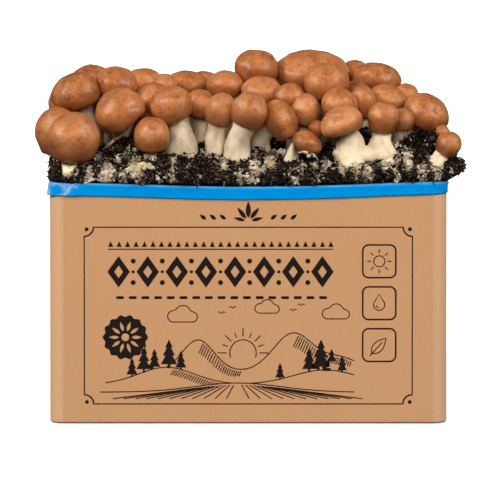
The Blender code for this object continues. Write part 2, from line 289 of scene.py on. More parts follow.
def add_node(tree, kind, inputs, output=0, **settings):
    """Adds a node. inputs maps a socket's name or number to another node's output or to a value."""
    node = tree.nodes.new(kind)
    for name, value in settings.items():
        setattr(node, name, value)
    for socket, value in inputs.items():
        if isinstance(value, bpy.types.NodeSocket):
            tree.links.new(value, node.inputs[socket])
        else:
            node.inputs[socket].default_value = value
    return node.outputs[output]


def plug(output, node, socket):
    node.id_data.links.new(output, node.inputs[socket])


def place_in_kit(tree):
    return add_node(tree, "ShaderNodeTexCoord", {}, output="Object")


def attribute(tree, name, output="Fac"):
    return add_node(tree, "ShaderNodeAttribute", {}, output=output, attribute_name=name)


def cloud(place, scale, detail=3.0, roughness=0.55):
    """Soft noise with a given number of blobs a metre."""
    inputs = {"Vector": place, "Scale": scale, "Detail": detail, "Roughness": roughness}
    return add_node(place.id_data, "ShaderNodeTexNoise", inputs)


def stretched(place, scale):
    """The place squeezed along each axis, which draws a pattern out."""
    return add_node(place.id_data, "ShaderNodeMapping", {"Vector": place, "Scale": scale})


def remap(value, low, high, out_low=0.0, out_high=1.0):
    inputs = {"Value": value, 1: low, 2: high, 3: out_low, 4: out_high}
    return add_node(value.id_data, "ShaderNodeMapRange", inputs, clamp=True)


def calc(operation, first, second):
    return add_node(first.id_data, "ShaderNodeMath", {0: first, 1: second}, operation=operation)


def add_up(*terms):
    """The sum of the terms. Each is an output, or an output and its weight."""
    parts = [calc("MULTIPLY", *term) if isinstance(term, tuple) else term for term in terms]
    total = parts[0]
    for part in parts[1:]:
        total = calc("ADD", total, part)
    return total


def tint(share, first, second):
    """The first colour with a share of the second one over it. The second may be a plain colour."""
    over = (*second, 1.0) if isinstance(second, tuple) else second
    inputs = {0: share, 6: first, 7: over}
    return add_node(share.id_data, "ShaderNodeMix", inputs, output=2, data_type="RGBA")


def ramp(value, *stops):
    """A run of colours, each with its place between nought and one."""
    node = value.id_data.nodes.new("ShaderNodeValToRGB")
    plug(value, node, 0)
    elements = node.color_ramp.elements
    while len(elements) < len(stops):
        elements.new(0.5)
    for element, (place, color) in zip(elements, stops):
        element.position = place
        element.color = (*color, 1.0)
    return node.outputs[0]


def bump(shader, height, depth, strength=1.0):
    """Raises the surface by height, where depth is the raise in metres of a full step of height."""
    inputs = {"Height": height, "Distance": depth, "Strength": strength}
    plug(add_node(shader.id_data, "ShaderNodeBump", inputs), shader, "Normal")


# %% [markdown]
# ## The studio
#
# A wide soft box over the camera gives most of the light and leaves no highlight of its own. Two more stand
# high on the left and the right, and give every cap its pair of broad highlights. Two weak ones without a
# highlight stand behind. All are far away, so that the carton's foot gets as much light as its rim. A floor
# this white would light the caps from below and flatten them, so only the camera sees it.

# %% Floor, soft boxes and sky
FLOOR_SIDE = 60.0
FLOOR_DROP = 0.4 * MM
FLOOR_WHITE = (0.92, 0.92, 0.92, 1.0)
SKY_ABOVE = 0.13
SKY_BELOW = 0.075
GLOW_NEAR = 0.42
GLOW_FAR = 0.8
GLOW_FROM = 0.2
GLOW_TO = 1.3
# name, place, width, height, watts
SOFT_BOXES = (
    ("soft_box_left", (-3.2, -1.5, 2.4), 1.4, 1.4, 90),
    ("soft_box_right", (3.1, -1.6, 2.4), 1.4, 1.4, 72),
    ("soft_box_front", (-0.2, -5.0, 2.8), 4.4, 2.2, 205),
    ("soft_box_back_left", (-2.4, 3.0, 2.3), 1.6, 1.6, 60),
    ("soft_box_back_right", (2.4, 3.0, 2.3), 1.6, 1.6, 60),
)
WITH_HIGHLIGHT = ("soft_box_left", "soft_box_right")
LIT_HEIGHT = Vector((0, 0, 0.18))
HORIZON_SOFT = 0.15

floor_finish, tree, shader = new_finish("studio_floor", 0.9, Specular_IOR_Level=0.1)
shader.inputs["Base Color"].default_value = FLOOR_WHITE
shader.inputs["Emission Color"].default_value = (1.0, 1.0, 1.0, 1.0)
far = add_node(tree, "ShaderNodeVectorMath", {0: place_in_kit(tree)}, output="Value", operation="LENGTH")
glow = remap(far, GLOW_FROM, GLOW_TO, GLOW_NEAR, GLOW_FAR)
plug(glow, shader, "Emission Strength")
bpy.ops.mesh.primitive_plane_add(size=FLOOR_SIDE, location=(0, 0, -FLOOR_DROP))
floor = bpy.context.object
floor.name = "studio_floor"
floor.visible_diffuse = False
floor.visible_glossy = False
floor.data.materials.append(floor_finish)

for name, place, wide, high, watts in SOFT_BOXES:
    bpy.ops.object.light_add(type="AREA", location=place)
    lamp = bpy.context.object
    lamp.name = name
    lamp.data.shape = "RECTANGLE"
    lamp.data.size = wide
    lamp.data.size_y = high
    lamp.data.energy = watts
    lamp.visible_glossy = name in WITH_HIGHLIGHT
    lamp.rotation_euler = (LIT_HEIGHT - Vector(place)).to_track_quat("-Z", "Y").to_euler()

sky = bpy.data.worlds.new("studio_sky")
bpy.context.scene.world = sky
sky.use_nodes = True
background = sky.node_tree.nodes["Background"]
background.inputs["Color"].default_value = (1.0, 1.0, 1.0, 1.0)
way = add_node(sky.node_tree, "ShaderNodeTexCoord", {}, output="Generated")
upward = add_node(sky.node_tree, "ShaderNodeSeparateXYZ", {"Vector": way}, output="Z")
strength = remap(upward, -HORIZON_SOFT, HORIZON_SOFT, SKY_BELOW, SKY_ABOVE)
plug(strength, background, "Strength")
bpy.context.scene.view_settings.view_transform = "Standard"
print(f"{len(SOFT_BOXES)} soft boxes over a floor {FLOOR_SIDE:.0f} m wide")

# %% [markdown]
# ## Mushroom finish
#
# A chestnut mushroom has a thin brown skin on its cap and cream flesh everywhere else. The skin is satin,
# with fine darker fibres that run out from the crown, and it darkens towards the edge: partly its own darker
# edge, partly painted shade on the cap's lower side. The stem is matt, faintly streaked along its length, and
# soiled at the foot. One material does all of this, because every mushroom carries the number of the ring
# that
# each point lies on: 0 at the crown, 4 at the cap's edge, 5 where the stem begins and 7 at the foot. Deep in
# the crowd the flesh gets painted shade, darker and browner where other mushrooms block the light, and there
# each point also carries how sheltered it is.

# %% Mushroom skin and flesh
SKIN_EDGE_RING = 4.42
SKIN_DARK = (0.17, 0.044, 0.011)
SKIN_BROWN = (0.515, 0.162, 0.041)
SKIN_LIGHT = (0.72, 0.3, 0.113)
# The skin's own darker edge mixed with painted shade on the cap's lower side
SKIN_EDGE_SHADE = (0.165, 0.04, 0.009)
SKIN_WORN = (0.68, 0.33, 0.14)
FLESH = (0.93, 0.735, 0.485)
FLESH_PALE = (0.95, 0.81, 0.575)
FLESH_SHADE = (0.6, 0.415, 0.24)
# Painted shade for flesh deep in the crowd
FLESH_PAINTED_SHADE = (0.2, 0.098, 0.038)
SOILED = (0.03, 0.02, 0.014)
FLESH_ROUGH = 0.7
SKIN_ROUGH = 0.37
SHEEN = (1.0, 0.86, 0.68, 1.0)

mushroom_skin, tree, shader = new_finish("mushroom", 0.4, Specular_IOR_Level=1.0, Specular_Tint=SHEEN)
place = place_in_kit(tree)
ring = attribute(tree, "ring")
spin = attribute(tree, "spin", "Vector")
fibre = cloud(stretched(spin, (20.0, 20.0, 3.5)), 1.0)
blotch = cloud(place, 75.0)
patch = cloud(place, 210.0, 2.0)
speck = cloud(place, 480.0, 4.0, 0.65)

mix = add_up((blotch, 0.42), (fibre, 0.24), (patch, 0.34), (speck, 0.34), attribute(tree, "tone"))
skin = ramp(mix, (0.47, SKIN_DARK), (0.66, SKIN_BROWN), (0.84, SKIN_LIGHT))
dots = add_up(speck, (blotch, 0.35))
skin = tint(remap(dots, 0.78, 0.9, 0.0, 0.3), skin, SKIN_DARK)
crown = add_up(ring, (fibre, 1.6))
skin = tint(remap(crown, 0.7, 3.0, 0.5, 0.0), skin, SKIN_DARK)
# Darker towards the cap's edge: partly the skin's own darker edge, partly painted shade on the cap's lower
# side
low = add_up(ring, (patch, 1.1))
skin = tint(remap(low, 2.6, 4.5, 0.0, 0.85), skin, SKIN_EDGE_SHADE)

streak = cloud(stretched(spin, (1.5, 1.5, 0.8)), 1.0)
flesh = ramp(streak, (0.18, FLESH_SHADE), (0.42, FLESH), (0.68, FLESH_PALE))
flesh = tint(remap(blotch, 0.5, 0.78, 0.0, 0.35), flesh, FLESH_SHADE)
# Painted shade: flesh that the crowd blocks from the light is darkened by how sheltered it is
painted_shade = calc("MULTIPLY", attribute(tree, "sheltered"), remap(blotch, 0.25, 0.7, 0.6, 1.0))
flesh = tint(painted_shade, flesh, FLESH_PAINTED_SHADE)
soil_share = add_up(remap(ring, 6.2, 7.1), (speck, 0.9))
flesh = tint(remap(soil_share, 1.08, 1.26), flesh, SOILED)

edge = add_up(ring, (cloud(place, 260.0), 0.22))
on_skin = remap(edge, SKIN_EDGE_RING + 0.08, SKIN_EDGE_RING + 0.14, 1.0, 0.0)
worn = remap(edge, SKIN_EDGE_RING - 0.02, SKIN_EDGE_RING + 0.07, 0.0, 0.7)
skin = tint(worn, skin, SKIN_WORN)
plug(tint(on_skin, flesh, skin), shader, "Base Color")
rough = add_up(remap(on_skin, 0.0, 1.0, FLESH_ROUGH, SKIN_ROUGH), (patch, 0.14))
plug(rough, shader, "Roughness")
bump(shader, add_up((speck, 0.55), (fibre, 0.4), (patch, 1.3)), 0.32 * MM, 0.9)
print("the mushroom finish reads ring, spin, tone and sheltered")

# %% [markdown]
# ## Growing the mushrooms
#
# The solid of each mushroom is coarse: nine or ten flat sides all round. A sculptor would smooth it and keep
# its size. Subdivision smooths well but pulls a shape in from its cage, so the cage is first pushed out until
# the smooth surface passes through the solid's own points. The same walk down from the crown that numbers the
# rings also finds the diagonal edges, and without them the smoothing runs in clean rings.

# %% Rings from crown to foot
RIM_RING = 4
NECK_RING = 5
FOOT_RING = 7
NEAR_RING = 0.05


def number_rings(mesh):
    """For each point, how many steps it lies below the crown."""
    neighbours = [[] for _ in mesh.vertices]
    for edge in mesh.edges:
        one, other = edge.vertices
        neighbours[one].append(other)
        neighbours[other].append(one)
    most = max(len(near) for near in neighbours)
    poles = [index for index, near in enumerate(neighbours) if len(near) == most]
    crown = max(poles, key=lambda index: mesh.vertices[index].co.z)
    ring = {crown: 0}
    row = [crown]
    for point in row:
        for near in neighbours[point]:
            if near not in ring:
                ring[near] = ring[point] + 1
                row.append(near)
    return np.array([ring[index] for index in range(len(mesh.vertices))])


def spin_angles(points, rings):
    """For each point, its angle round the stem, measured the same way on every ring."""
    centres = [points[rings == number].mean(axis=0) for number in range(rings.max() + 1)]
    angles = np.zeros(len(points))
    for number in range(1, rings.max()):
        axis = centres[number - 1] - centres[number + 1]
        axis /= np.linalg.norm(axis)
        side = np.cross((0.0, 1.0, 0.0), axis)
        side /= np.linalg.norm(side)
        across = np.cross(axis, side)
        out = points[rings == number] - centres[number]
        angles[rings == number] = np.arctan2(out @ across, out @ side)
    return angles


# %% Smoothing a solid without shrinking it
SMOOTH_LEVELS = 3
PUSH_ROUNDS = 4
RIM_CREASE = 0.35


def is_diagonal(edge, rings, angles, sides):
    one, other = edge.vertices
    if rings[one] == rings[other] or 0 in (rings[one], rings[other]):
        return False
    if rings.max() in (rings[one], rings[other]):
        return False
    apart = abs(angles[one] - angles[other])
    return min(apart, math.tau - apart) > math.pi / sides


def push_cage_out(piece):
    """Moves the cage until its smooth surface passes through the solid's own points."""
    wanted = points_of(piece.data)
    for _ in range(PUSH_ROUNDS):
        smooth = piece.evaluated_get(bpy.context.evaluated_depsgraph_get())
        reached = points_of(smooth.data)[: len(wanted)]
        set_points(piece.data, points_of(piece.data) + wanted - reached)
        bpy.context.view_layer.update()


def smooth_solid(piece):
    """Gives the copied solid its rings, then a smooth surface through its points."""
    mesh = piece.data
    rings = number_rings(mesh)
    angles = spin_angles(points_of(mesh), rings)
    sides = int((rings == RIM_RING).sum())
    paint(mesh, "ring", rings)
    held = (rings > 0) & (rings < rings.max())
    paint(mesh, "spin", np.stack([np.cos(angles) * held, np.sin(angles) * held, rings], axis=1))

    diagonals = piece, "EDGE", lambda edge: is_diagonal(edge, rings, angles, sides)
    edit(bpy.ops.mesh.dissolve_edges, *diagonals, use_verts=False)
    rim = piece, "EDGE", lambda edge: all(rings[point] == RIM_RING for point in edge.vertices)
    edit(bpy.ops.transform.edge_crease, *rim, value=RIM_CREASE)

    modifier = piece.modifiers.new("smooth", "SUBSURF")
    modifier.levels = modifier.render_levels = SMOOTH_LEVELS
    bpy.context.view_layer.update()
    push_cage_out(piece)
    pick(piece)
    bpy.ops.object.modifier_apply(modifier=modifier.name)


# %% [markdown]
# ### Life in the surface
#
# No cap is a perfect ball. A broad swell bends the outline a little, fine radial folds run under the cap
# where the veil tore away from the stem, and the stem has long shallow flutes. The underside is lifted a
# little, so that the cap's edge casts a shadow on the stem. Young caps whose veil still closes them keep a
# full underside.

# %% Shaping each mushroom
SWELL = 2.2 * MM
SWELL_SIZE = 15.0 * MM
DIMPLE = 0.65 * MM
DIMPLE_SIZE = 6.0 * MM
FLUTE = 0.85 * MM
FOLD = 0.28 * MM
SINK = 3.0 * MM
FLARE_SHARE = 0.1
FOLDS_ROUND = 26
UNDERCUT = 0.13
CLOSED_CAPS = {"mushroom_front_01", "mushroom_front_06", "mushroom_front_09", "mushroom_second_04"}
TONE_SPREAD = 0.045
# How much longer the stem grows, in metres, and its share of width at the neck and at the foot
POINTED_STEMS = {"mushroom_front_01": (9.5 * MM, 1.18, 0.38), "mushroom_front_06": (2.0 * MM, 0.55, 0.95)}
DARK_CAPS = {
    "mushroom_front_06": -0.04,
    "mushroom_crown_06": -0.04,
    "mushroom_second_12": -0.05,
    "mushroom_crown_08": -0.03,
}
# The part of the stem above the foot that flares and grows longer, counted in rings
FLARE_PART = 0.7
# The rings that the folded underside lies between, and the ring where the stem's own width starts
UNDER_FROM = RIM_RING + 0.06
UNDER_TO = NECK_RING + 0.1
STEM_FROM = RIM_RING + 0.4

swell = noise_texture("swell", "CLOUDS", SWELL_SIZE, noise_depth=1)
dimples = noise_texture("dimples", "CLOUDS", DIMPLE_SIZE, noise_depth=1)


def hump(value, low, high):
    """Nought outside low and high, and a round hump of one between them."""
    return np.sin(math.pi * unit((value - low) / (high - low)))


def shape_mushroom(mesh, closed, longer=SINK, neck_share=1.0, foot_share=1.0):
    """Lifts the cap's underside, and gives the stem its folds, its flutes, its flare and its length."""
    points = points_of(mesh)
    normals = normals_of(mesh)
    rings = painted(mesh, "ring")
    spin = read(mesh.attributes["spin"].data, "vector", 3, np.float32)
    cap = points[rings <= RIM_RING]
    neck = points[np.abs(rings - NECK_RING) < NEAR_RING].mean(axis=0)
    axis = cap.mean(axis=0) - neck
    tall = np.linalg.norm(axis) * 2
    axis /= np.linalg.norm(axis)
    lift = 0.0 if closed else UNDERCUT * tall
    under = hump(rings, UNDER_FROM, UNDER_TO)
    points += (lift * under)[:, None] * axis
    angle = np.arctan2(spin[:, 1], spin[:, 0])
    folds = FOLD * under * np.sin(FOLDS_ROUND * angle + 3 * np.sin(5 * angle))
    seeds = np.stack([spin[:, 0] * 1.3, spin[:, 1] * 1.3, rings * 0.9 + points[0, 0] * 90], axis=1)
    flutes = noise_at(seeds, 1.0)
    on_stem = unit(rings - NECK_RING)
    points += (folds + FLUTE * 2 * flutes * on_stem)[:, None] * normals
    low = np.clip(rings - FOOT_RING + FLARE_PART, 0.0, FLARE_PART) / FLARE_PART
    sole = points[rings > FOOT_RING - NEAR_RING].mean(axis=0)
    points[:, :2] += FLARE_SHARE * (low**2)[:, None] * (points - sole)[:, :2]
    points[:, 2] -= longer * low
    down = unit((rings - NECK_RING) / (FOOT_RING - NECK_RING))
    core = neck + down[:, None] * (sole - neck)
    share = neck_share + (foot_share - neck_share) * down**1.3
    points[:, :2] -= ((1 - share) * (rings > STEM_FROM))[:, None] * (points - core)[:, :2]
    set_points(mesh, points)


grown = {}
draw = random.Random(11)
for node in sorted(name for name in solids if name.startswith("mushroom")):
    piece = copy_of(node, node.replace("mushroom", "grown_mushroom"))
    smooth_solid(piece)
    for texture, strength in ((swell, SWELL), (dimples, DIMPLE)):
        apply_modifier(piece, "DISPLACE", texture=texture, strength=strength, texture_coords="LOCAL")
    shape_mushroom(piece.data, node in CLOSED_CAPS, *POINTED_STEMS.get(node, ()))
    paint(piece.data, "tone", DARK_CAPS.get(node, 0.0) + draw.gauss(0.0, TONE_SPREAD))
    finish_piece(piece, mushroom_skin, "mushroom_skin", node)
    grown[node] = piece
print(f"{len(grown)} mushrooms grown")

# %% One that fell over
# A low mushroom in front lies over to the right: its cap is flatter than its solid, and its thin stem stands
# upright behind it. Pixels give the cap's middle, its share of width and height, and the neck and the foot.
FALLEN = "mushroom_front_06"
FALLEN_MIDDLE = (308.0, 142.0)
FALLEN_SHARE = (0.93, 0.8)
FALLEN_NECK = (296.5, 143.0)
FALLEN_FOOT = (292.0, 161.0)
# In rings: how far past the rim its stem starts, and over how many it takes over from the cap
FALLEN_STEM = 0.3
FALLEN_STEM_FADE = 0.5


def shift_to(points, chosen, column, row):
    """How far to move so that the middle of the chosen points shows at a pixel."""
    gap = np.array(sight_point(column, row)) - points[chosen].mean(axis=0)
    return np.array((gap[0], 0, 0)) + (gap @ UP_VIEW) * UP_VIEW


mesh = grown[FALLEN].data
points = points_of(mesh)
rings = painted(mesh, "ring")
neck_shift = shift_to(points, np.abs(rings - NECK_RING) < NEAR_RING, *FALLEN_NECK)
foot_shift = shift_to(points, rings > FOOT_RING - NEAR_RING, *FALLEN_FOOT)
off = points - np.array(sight_point(*FALLEN_MIDDLE))
on_stem = unit((rings - RIM_RING - FALLEN_STEM) / FALLEN_STEM_FADE)
points[:, 0] -= (1 - on_stem) * (1 - FALLEN_SHARE[0]) * off[:, 0]
points -= ((1 - on_stem) * (1 - FALLEN_SHARE[1]) * (off @ UP_VIEW))[:, None] * UP_VIEW
down = unit((rings - NECK_RING) / (FOOT_RING - NECK_RING))
points += on_stem[:, None] * (neck_shift + down[:, None] * (foot_shift - neck_shift))
set_points(mesh, points)
print(f"{FALLEN} laid over, neck moved {np.linalg.norm(neck_shift) / MM:.1f} mm")

# %% Caps with a straight lower side
# A cap that grew against its neighbours isn't round below. Each row has a solid and two pixels on the line
# that its lower side keeps to.
STRAIGHT_SIDES = (
    ("mushroom_front_07", (325.0, 141.0), (357.0, 132.5)),
    ("mushroom_second_02", (118.0, 139.5), (146.0, 111.5)),
)
SOFT_PIXELS = 5.0
# How many rings past the neck the lift has faded away
PAST_NECK = 1.2

for node, (left, left_row), (right, right_row) in STRAIGHT_SIDES:
    mesh = grown[node].data
    points = points_of(mesh)
    columns, rows = pixels_of(points)
    line = left_row + (columns - left) * (right_row - left_row) / (right - left)
    past = np.clip(rows - line + SOFT_PIXELS, 0.0, None)
    lift = past - SOFT_PIXELS * (1 - np.exp(-past / SOFT_PIXELS))
    lift *= unit(NECK_RING + PAST_NECK - painted(mesh, "ring"))
    set_points(mesh, points + (lift * PIXEL)[:, None] * UP_VIEW)
    print(f"{node} lifted by up to {lift.max() * PIXEL / MM:.1f} mm")

# %% How sheltered the stems are
# The share of the ways out from each point that a solid blocks, which darkens the flesh as painted shade.
# Flesh gets no painted shade up to SHELTER_FROM of them.
SHELTER_WAYS = [
    Vector((math.sin(turn) * math.cos(rise), -math.cos(turn) * math.cos(rise), math.sin(rise)))
    for rise, count in ((math.radians(12), 8), (math.radians(40), 6), (math.radians(75), 2))
    for turn in np.linspace(0, math.tau, count, endpoint=False)
]
SHELTER_REACH = 70 * MM
SHELTER_OFF = 2.5 * MM
SHELTER_DEEPEST = 0.95
SHELTER_FROM = 0.53
SHELTER_FADE = 0.4

corners, faces = [], []
for node in grown:
    start = len(corners)
    corners.extend(v.co.copy() for v in solids[node].data.vertices)
    faces.extend([start + index for index in face.vertices] for face in solids[node].data.polygons)
crowd = BVHTree.FromPolygons(corners, faces)
for piece in grown.values():
    rings = painted(piece.data, "ring")
    sheltered = np.zeros(len(rings))
    normals = normals_of(piece.data)
    for index in np.nonzero(rings > RIM_RING)[0]:
        start = piece.data.vertices[index].co + SHELTER_OFF * Vector(normals[index])
        blocked = [crowd.ray_cast(start, way, SHELTER_REACH)[0] is not None for way in SHELTER_WAYS]
        sheltered[index] = sum(blocked) / len(blocked)
    paint(piece.data, "sheltered", SHELTER_DEEPEST * unit((sheltered - SHELTER_FROM) / SHELTER_FADE))
print(f"shelter felt along {len(SHELTER_WAYS)} ways")

# %% [markdown]
# ### Dents and creases
#
# Some caps have marks of their own: two lobes with a crease between them, a pinched line, a thumb-sized dent.
# Each one is pressed in along the sight line through the pixel where it shows.

# %% Pressing the dents
# solid, pixel column and row, depth, reach across and reach up, all lengths in millimetres
DENTS = (
    ("mushroom_crown_08", 317, 56, 2.6, 4.0, 9.0),
    ("mushroom_crown_08", 300, 66, 1.2, 6.0, 4.0),
    ("mushroom_second_12", 438, 110, 1.7, 1.9, 3.0),
    ("mushroom_crown_10", 367, 77, 1.3, 4.5, 3.5),
    ("mushroom_front_07", 334, 116, 1.7, 9.0, 2.0),
    ("mushroom_second_02", 135, 108, 0.8, 5.0, 3.0),
)
DENT_DEEP = 12 * MM


def press_dent(mesh, column, row, depth, across, up):
    place, normal = hit(surface_of(mesh), column, row)
    points = points_of(mesh)
    off = points - np.array(place)
    share = np.exp(-((off[:, 0] / (across * MM)) ** 2) - ((off @ UP_VIEW) / (up * MM)) ** 2)
    share *= np.exp(-((off @ INTO_VIEW) / DENT_DEEP) ** 2)
    set_points(mesh, points - (depth * MM * share)[:, None] * np.array(normal))


for node, *mark in DENTS:
    press_dent(grown[node].data, *mark)
print(f"{len(DENTS)} dents pressed")

# %% [markdown]
# ## Soil finish
#
# Casing soil is wet peat: almost black, with brown crumbs. Mycelium turns the crumbs that it covers cream or
# a little yellow. Each crumb carries three numbers, how pale, how light and how yellow it is, and the
# material mixes peat and mycelium from them.

# %% Peat and mycelium
PEAT_BLACK = (0.0018, 0.0012, 0.0009)
PEAT = (0.016, 0.0098, 0.0066)
PEAT_BROWN = (0.165, 0.105, 0.068)
MYCELIUM_SHADE = (0.26, 0.176, 0.116)
MYCELIUM = (0.55, 0.43, 0.3)
MYCELIUM_WHITE = (0.79, 0.675, 0.52)
MYCELIUM_YELLOW = (0.74, 0.57, 0.29)

peat_soil, tree, shader = new_finish("casing_soil", 0.85, Specular_IOR_Level=0.12)
place = place_in_kit(tree)
grain = cloud(place, 1100.0, 4.0, 0.7)
clump = cloud(place, 330.0, 3.0, 0.6)
light = add_up((attribute(tree, "light"), 0.62), (grain, 0.55))
peat = ramp(light, (0.38, PEAT_BLACK), (0.6, PEAT), (0.92, PEAT_BROWN))
felt = ramp(light, (0.22, MYCELIUM_SHADE), (0.52, MYCELIUM), (0.84, MYCELIUM_WHITE))
yellow = remap(attribute(tree, "yellow"), 0.1, 0.9, 0.0, 0.7)
felt = tint(yellow, felt, MYCELIUM_YELLOW)
pale = add_up(attribute(tree, "pale"), (clump, 0.8))
plug(tint(remap(pale, 0.74, 1.02), peat, felt), shader, "Base Color")
bump(shader, add_up(grain, clump), 0.5 * MM)
print("the soil finish reads pale, light and yellow")


def finish_soil(piece, pale, light, yellow, *stands_for, smooth=True):
    """Stores how pale, how light and how yellow each point is, and finishes the piece as soil."""
    for name, values in (("pale", pale), ("light", light), ("yellow", yellow)):
        paint(piece.data, name, values)
    finish_piece(piece, peat_soil, "casing_soil", *stands_for, smooth=smooth)

# %% [markdown]
# ## The bed of soil
#
# The solid's top is a smooth mound. It is cut up finely, and then raised twice: in clods the size of a
# hazelnut, and in crumbs. Heaps fill the gaps between some stems. At the right end the soil spills over the
# rim, and at the left end it stays behind it. The body inside the carton isn't seen, so it stays coarse.

# %% Cutting up and raising the bed
BED_CUTS = 8
OPEN_SOIL = 178.5 * MM
CLOD_SIZE = 9.0 * MM
CLOD = 4.5 * MM
CRUMB_SIZE = 2.6 * MM
CRUMB = 1.5 * MM
# The heaps between the stems: pixel column, depth, reach across and along in millimetres, and the pixel row
# that the heap's top reaches
HEAPS = (
    (420, -50, 13, 9, 131), (122, -57, 12, 8, 137), (203, -42, 8, 8, 143), (258, -64, 6, 5, 148),
    (82, -62, 8, 10, 158), (322, -50, 12, 8, 146), (452, -62, 9, 30, 162), (436, -52, 6, 8, 138),
    (361, -54, 9, 5, 127), (67, -92, 7, 8, 180), (297, -86, 8, 5, 162),
)
SPILL_FROM = 148 * MM
SPILL_FOOT = 182.5 * MM
SPILL_TALL = 6.5 * MM
SPILL_LEAST = 0.1
PULL_FROM = -146.5 * MM
PULL_FOOT = 185 * MM
PULL_TALL = 4 * MM
PULL_MOST = 0.9
DOWN = Vector((0, 0, -1))
ABOVE_ALL = 1.0

bed = copy_of("casing_soil", "soil_bed")
top = bed, "FACE", lambda face: min(bed.data.vertices[p].co.z for p in face.vertices) > OPEN_SOIL
edit(bpy.ops.mesh.subdivide, *top, number_cuts=BED_CUTS, smoothness=0.6)
open_soil = bed.vertex_groups.new(name="open_soil")
open_soil.add([p.index for p in bed.data.vertices if p.co.z > OPEN_SOIL], 1.0, "REPLACE")

clods = noise_texture("clods", "CLOUDS", CLOD_SIZE, noise_depth=2)
crumbs = noise_texture("crumbs", "VORONOI", CRUMB_SIZE, noise_intensity=1.2)
for texture, strength in ((clods, CLOD), (crumbs, -CRUMB)):
    settings = {"texture": texture, "strength": strength, "texture_coords": "LOCAL"}
    apply_modifier(bed, "DISPLACE", vertex_group="open_soil", **settings)
points = points_of(bed.data)
smooth_bed = surface_of(bed.data)
for column, depth, reach_across, reach_along, row in HEAPS:
    top = point_at_depth(column, row, depth)
    ground = smooth_bed.ray_cast(Vector((top.x, top.y, ABOVE_ALL)), DOWN)[0]
    across = (points[:, 0] - top.x) / (reach_across * MM)
    along = (points[:, 1] - top.y) / (reach_along * MM)
    points[:, 2] += (top.z - ground.z) * np.exp(-(across**2 + along**2)) * (points[:, 2] > OPEN_SOIL)
    print(f"heap at column {column}: {(top.z - ground.z) / MM:.1f} mm")
over = np.clip(points[:, 0] - SPILL_FROM, 0.0, None)
points[:, 0] -= over * (1 - np.clip((points[:, 2] - SPILL_FOOT) / SPILL_TALL, SPILL_LEAST, 1.0))
beyond = np.clip(PULL_FROM - points[:, 0], 0.0, None)
beyond *= np.clip((points[:, 2] - PULL_FOOT) / PULL_TALL, 0.0, PULL_MOST)
points[:, 0] += beyond * (points[:, 1] < 0)
set_points(bed.data, points)
bed_surface = surface_of(bed.data)
print(f"bed of {len(bed.data.polygons)} faces")

# %% [markdown]
# ## Where the mycelium shows
#
# The pale patches of the front are listed from the picture, each with its pixel, its reach in pixels
# and its strength. The sides and the back have patches
# from soft noise instead.

# %% Pale patches
PATCHES = (
    (108, 175, 10, 1), (90, 181, 6, 0.9), (118, 160, 4, 1), (124, 176, 5, 0.9), (137, 168, 9, 1),
    (127, 156, 4, 0.7), (136, 148, 4, 0.7), (150, 156, 4, 0.8), (88, 158, 4, 0.7), (98, 158, 4, 0.8),
    (76, 175, 4, 0.6), (108, 166, 4, 0.9), (152, 168, 3, 0.8), (158, 177, 3, 0.6), (84, 166, 4, 0.5),
    (173, 162, 4, 0.9), (172, 171, 3, 0.8), (173, 180, 4, 0.6), (184, 155, 5, 0.7), (206, 155, 6, 0.8),
    (217, 158, 4, 0.8), (224, 165, 5, 1), (228, 169, 3, 0.9), (240, 177, 6, 0.7), (247, 158, 4, 0.6),
    (254, 166, 6, 1), (256, 174, 5, 1), (263, 170, 4, 0.9), (252, 182, 6, 0.8), (270, 164, 7, 1),
    (280, 154, 7, 1), (292, 153, 6, 1), (302, 166, 5, 0.6), (314, 165, 4, 0.8), (326, 167, 6, 0.9),
    (342, 171, 5, 1), (356, 172, 6, 0.8), (368, 173, 6, 0.9), (385, 165, 5, 0.7), (399, 160, 5, 0.7),
    (395, 173, 4, 0.8), (406, 156, 6, 1), (409, 166, 5, 1), (422, 170, 6, 0.9), (435, 166, 6, 0.9),
    (437, 173, 5, 0.8), (430, 158, 4, 0.8), (398, 181, 3, 0.9), (450, 172, 4, 0.6), (200, 178, 4, 0.4),
    (296, 182, 6, 0.5), (318, 178, 5, 0.4), (186, 170, 5, 0.4), (166, 182, 4, 0.5),
)
YELLOW_PATCHES = ((140, 166, 8), (270, 165, 6), (190, 150, 5), (356, 165, 8))
# Behind this depth the patches come from noise: how fast, how many and how sharp
FRONT_SEEN = -52.0
NOISE_FADE = 20.0
NOISE_SHARE = 0.25
NOISE_CONTRAST = 1.1
SIDE_PATCH_SIZE = 30 * MM
PATCH_SPREAD = 1.08
DEPTH_REACH = 2.2
FLECK_SIZE = 2.5 * MM


def spots(patches):
    """Each patch's place on the bed, in millimetres, with its reach."""
    found = []
    for column, row, reach, *strength in patches:
        place, _ = hit(bed_surface, column, row)
        if place is not None:
            found.append((place.x / MM, place.y / MM, PATCH_SPREAD * reach * PIXEL / MM, *strength))
    return np.array(found)


pale_spots = spots(PATCHES)
yellow_spots = spots(YELLOW_PATCHES)


def reach_of(places, found):
    """For each place and spot, how near they are, from nought to one. Patches are longer in depth."""
    across = (places[:, 0:1] / MM - found[:, 0]) / found[:, 2]
    along = (places[:, 1:2] / MM - found[:, 1]) / (DEPTH_REACH * found[:, 2])
    return np.exp(-(across**2) - along**2)


def paleness(places):
    """How much mycelium covers the soil at each place."""
    listed = (reach_of(places, pale_spots) * pale_spots[:, 3]).max(axis=1)
    drift = fractal_at(places, SIDE_PATCH_SIZE)
    behind = unit((places[:, 1] / MM - FRONT_SEEN) / NOISE_FADE)
    return np.maximum(listed, behind * unit(NOISE_SHARE + NOISE_CONTRAST * drift))


def yellowness(places):
    return reach_of(places, yellow_spots).max(axis=1)


bed_points = points_of(bed.data)
fleck = noise_at(bed_points, FLECK_SIZE)
bed_pale = unit(paleness(bed_points) * 0.9 + 0.35 * fleck - 0.15)
finish_soil(bed, bed_pale, unit(0.3 + 0.4 * fleck), yellowness(bed_points), "casing_soil")
